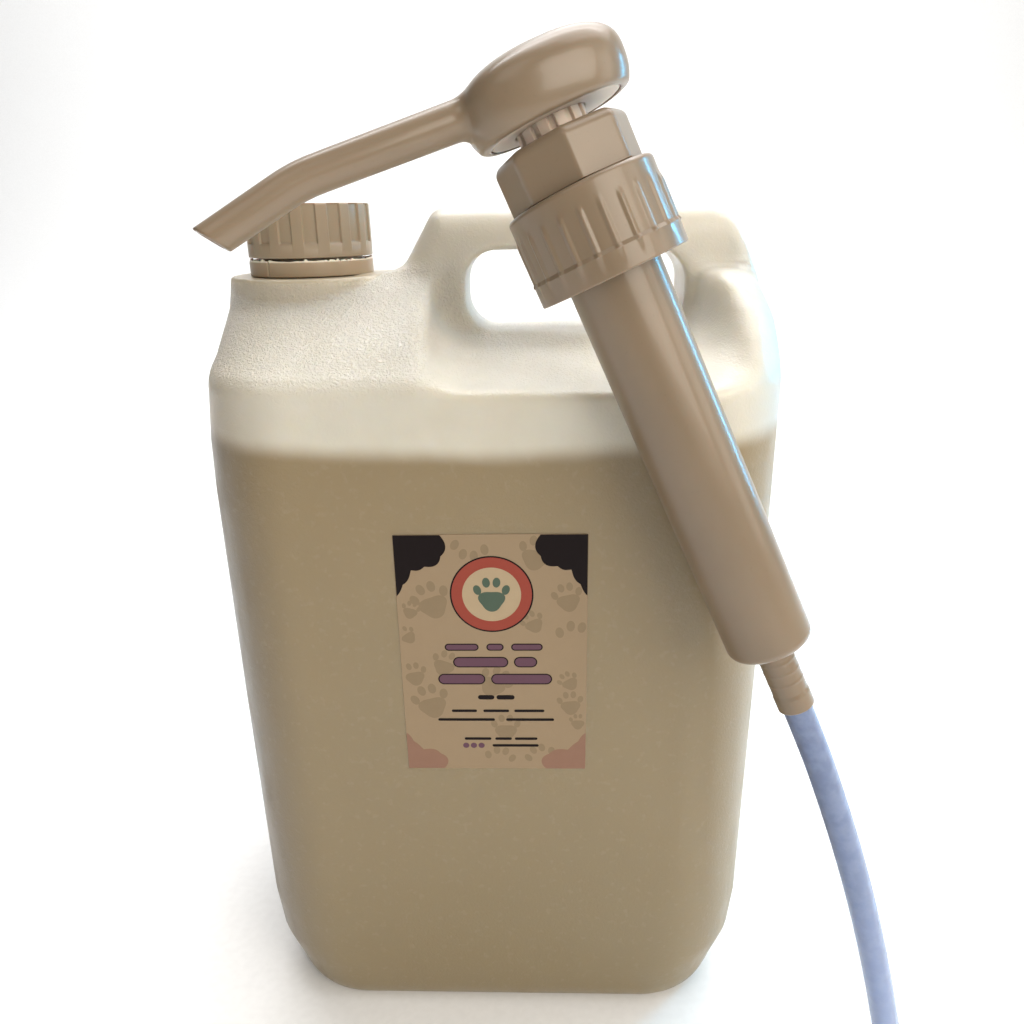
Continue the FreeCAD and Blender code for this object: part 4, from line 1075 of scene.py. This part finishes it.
def ink(name, colour, wear=0.12):
    """Printed ink under a satin film, a little uneven, with paper-fine tooth."""
    shade = Shade(name, Specular_IOR_Level=0.1)
    mottle = shade.noise(260, 4)
    dots = shade.noise(2600, 2)
    base = shade.blend(mottle, 0.35, 0.75, colour, scaled(colour, 1.25, 0.01), wear)
    base = shade.blend(dots, 0.55, 0.75, base, scaled(colour, 0.8), wear)
    return shade.finished(base, mottle, 0.42, 0.55, dots, 0.00003)


def steel(name):
    """Bright steel with fine drawn lines."""
    shade = Shade(name, Metallic=1.0)
    lines = shade.noise(500, 3, stretch=(1, 1, 0.2))
    base = shade.blend(lines, 0.3, 0.7, linear(196, 198, 200), linear(226, 227, 228))
    return shade.finished(base, lines, 0.14, 0.3, lines, 0.00002)


def foam():
    """White closed-cell foam."""
    shade = Shade("liner_foam")
    cells = shade.node("ShaderNodeTexVoronoi", Vector=shade.coords, Scale=1800.0).outputs["Distance"]
    base = shade.blend(cells, 0.1, 0.6, linear(226, 224, 216), linear(246, 245, 240))
    return shade.set(Base_Color=base, Roughness=shade.span(cells, 0.0, 0.7, 0.7, 0.9),
                     Normal=shade.bump(cells, 0.0001, 0.6))


def rubber():
    """Dark grey rubber with some bloom on it."""
    shade = Shade("grey_seal_rubber")
    bloom = shade.noise(220, 4)
    base = shade.blend(bloom, 0.35, 0.7, linear(70, 70, 72), linear(98, 97, 96))
    return shade.finished(base, bloom, 0.5, 0.7, shade.noise(1500, 2), 0.00005, 0.5)


pump_finish = moulded("taupe_pump_plastic", linear(131, 113, 92), 0.31, 0.000012, Subsurface_Weight=0.12,
                      Specular_IOR_Level=0.4, Coat_Weight=0.15, Coat_Roughness=0.07)
cap_finish = moulded("cream_cap_plastic", linear(156, 138, 114), 0.36, 0.00004, Subsurface_Weight=0.2)
band_finish = moulded("torn_band_plastic", linear(170, 150, 124), 0.36, 0.00004, (BAND_TEAR - 0.25) * MM,
                      Subsurface_Weight=0.2)
plate_finish = moulded("pale_plate_plastic", linear(206, 188, 170), 0.4, 0.00003, Subsurface_Weight=0.2)
inner_finish = moulded("natural_inner_plastic", linear(232, 226, 214), 0.38, 0.00003, Subsurface_Weight=0.25)
hdpe = can_finish()

# ---- the build
make_tube(tube_finish())
make_can(hdpe, 1.6)
make_fill(conditioner_finish(), 2.4)
make_cap(cap_finish)
make_band(band_finish)
make_barrel(pump_finish)
make_connector(pump_finish)
make_closure(pump_finish)
make_nut(pump_finish)
make_sleeve(plate_finish)
make_head(pump_finish, plate_finish, 0.6)
make_label({
    "ground": ink("label_paper", linear(147, 127, 102), 0.08),
    "faint": ink("faint_print_ink", linear(133, 115, 91), 0.1),
    "dark": ink("dark_ink", linear(22, 14, 14), 0.1),
    "rose": ink("rose_ink", linear(136, 104, 87)),
    "coral": ink("coral_ink", linear(142, 66, 54)),
    "pale": ink("pale_ink", linear(168, 148, 120)),
    "sage": ink("sage_ink", linear(76, 90, 77)),
    "plum": ink("plum_ink", linear(96, 68, 80)),
})

# CAD pieces kept as they are, with finishes of their own
seal_rubber = rubber()
carried = {
    "threaded_neck": hdpe, "cap_liner": foam(), "neck_gasket": seal_rubber, "piston_seal": seal_rubber,
    "inlet_ball": steel("valve_ball_steel"), "return_spring": steel("spring_wire_steel"),
}
carried["outlet_ball"] = carried["inlet_ball"]
for node_name in ("piston", "stem", "stem_wiper", "inlet_cage", "outlet_seat"):
    carried[node_name] = inner_finish
for node_name, material in carried.items():
    mesh = frame["nodes"][node_name].data
    mesh.materials.clear()
    mesh.materials.append(material)


# ---- stage and lights
def make_stage():
    """A pale floor that sweeps up into a backdrop well behind the can."""
    shade = Shade("pale_paper")
    tooth = shade.noise(300, 3)
    base = shade.blend(tooth, 0.3, 0.7, linear(246, 246, 246), linear(250, 250, 250))
    paper = shade.set(Base_Color=base, Roughness=shade.span(tooth, 0.3, 0.7, 0.75, 0.9))
    wide, near, far, rise, sweep = 6000.0, -1500.0, 2200.0, 3200.0, 900.0
    outline = [(near, 0.0), (far - sweep, 0.0)]
    outline += [(far - sweep + sweep * math.sin(turn), sweep - sweep * math.cos(turn))
                for turn in np.linspace(0.05, math.pi / 2, 24)]
    outline.append((far, rise))
    points = [(x, y, z) for y, z in outline for x in (-wide / 2, wide / 2)]
    faces = [(2 * i, 2 * i + 1, 2 * i + 3, 2 * i + 2) for i in range(len(outline) - 1)]
    floor = quad_object("paper_sweep", np.array(points), faces)
    floor.data.materials.append(paper)


def area_light(name, place, aim, size, power, colour):
    data = bpy.data.lights.new(name, "AREA")
    data.shape = "RECTANGLE"
    data.size, data.size_y = size
    data.energy = power
    data.color = colour
    light = bpy.data.objects.new(name, data)
    light.location = place
    light.rotation_euler = (Vector(aim) - Vector(place)).to_track_quat("-Z", "Y").to_euler()
    bpy.context.scene.collection.objects.link(light)


# each lamp: name, place, what it aims at, its two sides in metres, its power in watts and its colour
LAMPS = (
    ("overhead", (0.25, 0.4, 1.5), (0, 0.1, 0), (1.8, 1.4), 25, (1, 1, 1)),
    ("backdrop_wash", (0, 0.9, 2.4), (0, 2.2, 0.7), (3.0, 0.8), 48, (1, 1, 1)),
    ("right_window", (1.3, -0.3, 0.7), (0, 0, 0.2), (0.5, 0.9), 3.6, (1.0, 0.96, 0.9)),
    ("front_soft", (0.95, -1.25, 0.95), (0.05, 0, 0.15), (1.3, 1.0), 22.5, (1.0, 0.94, 0.84)),
    ("left_fill", (-0.3, -0.6, 0.85), (-0.05, 0, 0.27), (0.5, 0.5), 1.1, (1.0, 0.95, 0.88)),
    ("blue_rim", (0.75, 0.35, 0.45), (0.05, -0.05, 0.25), (0.04, 0.5), 3.6, (0.12, 0.6, 1.0)),
)


def make_lights():
    world = bpy.data.worlds.new("studio")
    world.use_nodes = True
    background = world.node_tree.nodes["Background"]
    background.inputs["Color"].default_value = (1, 1, 1, 1)
    background.inputs["Strength"].default_value = 0.1
    bpy.context.scene.world = world
    for lamp in LAMPS:
        area_light(*lamp)
    bpy.context.scene.view_settings.view_transform = "Standard"


make_stage()
make_lights()
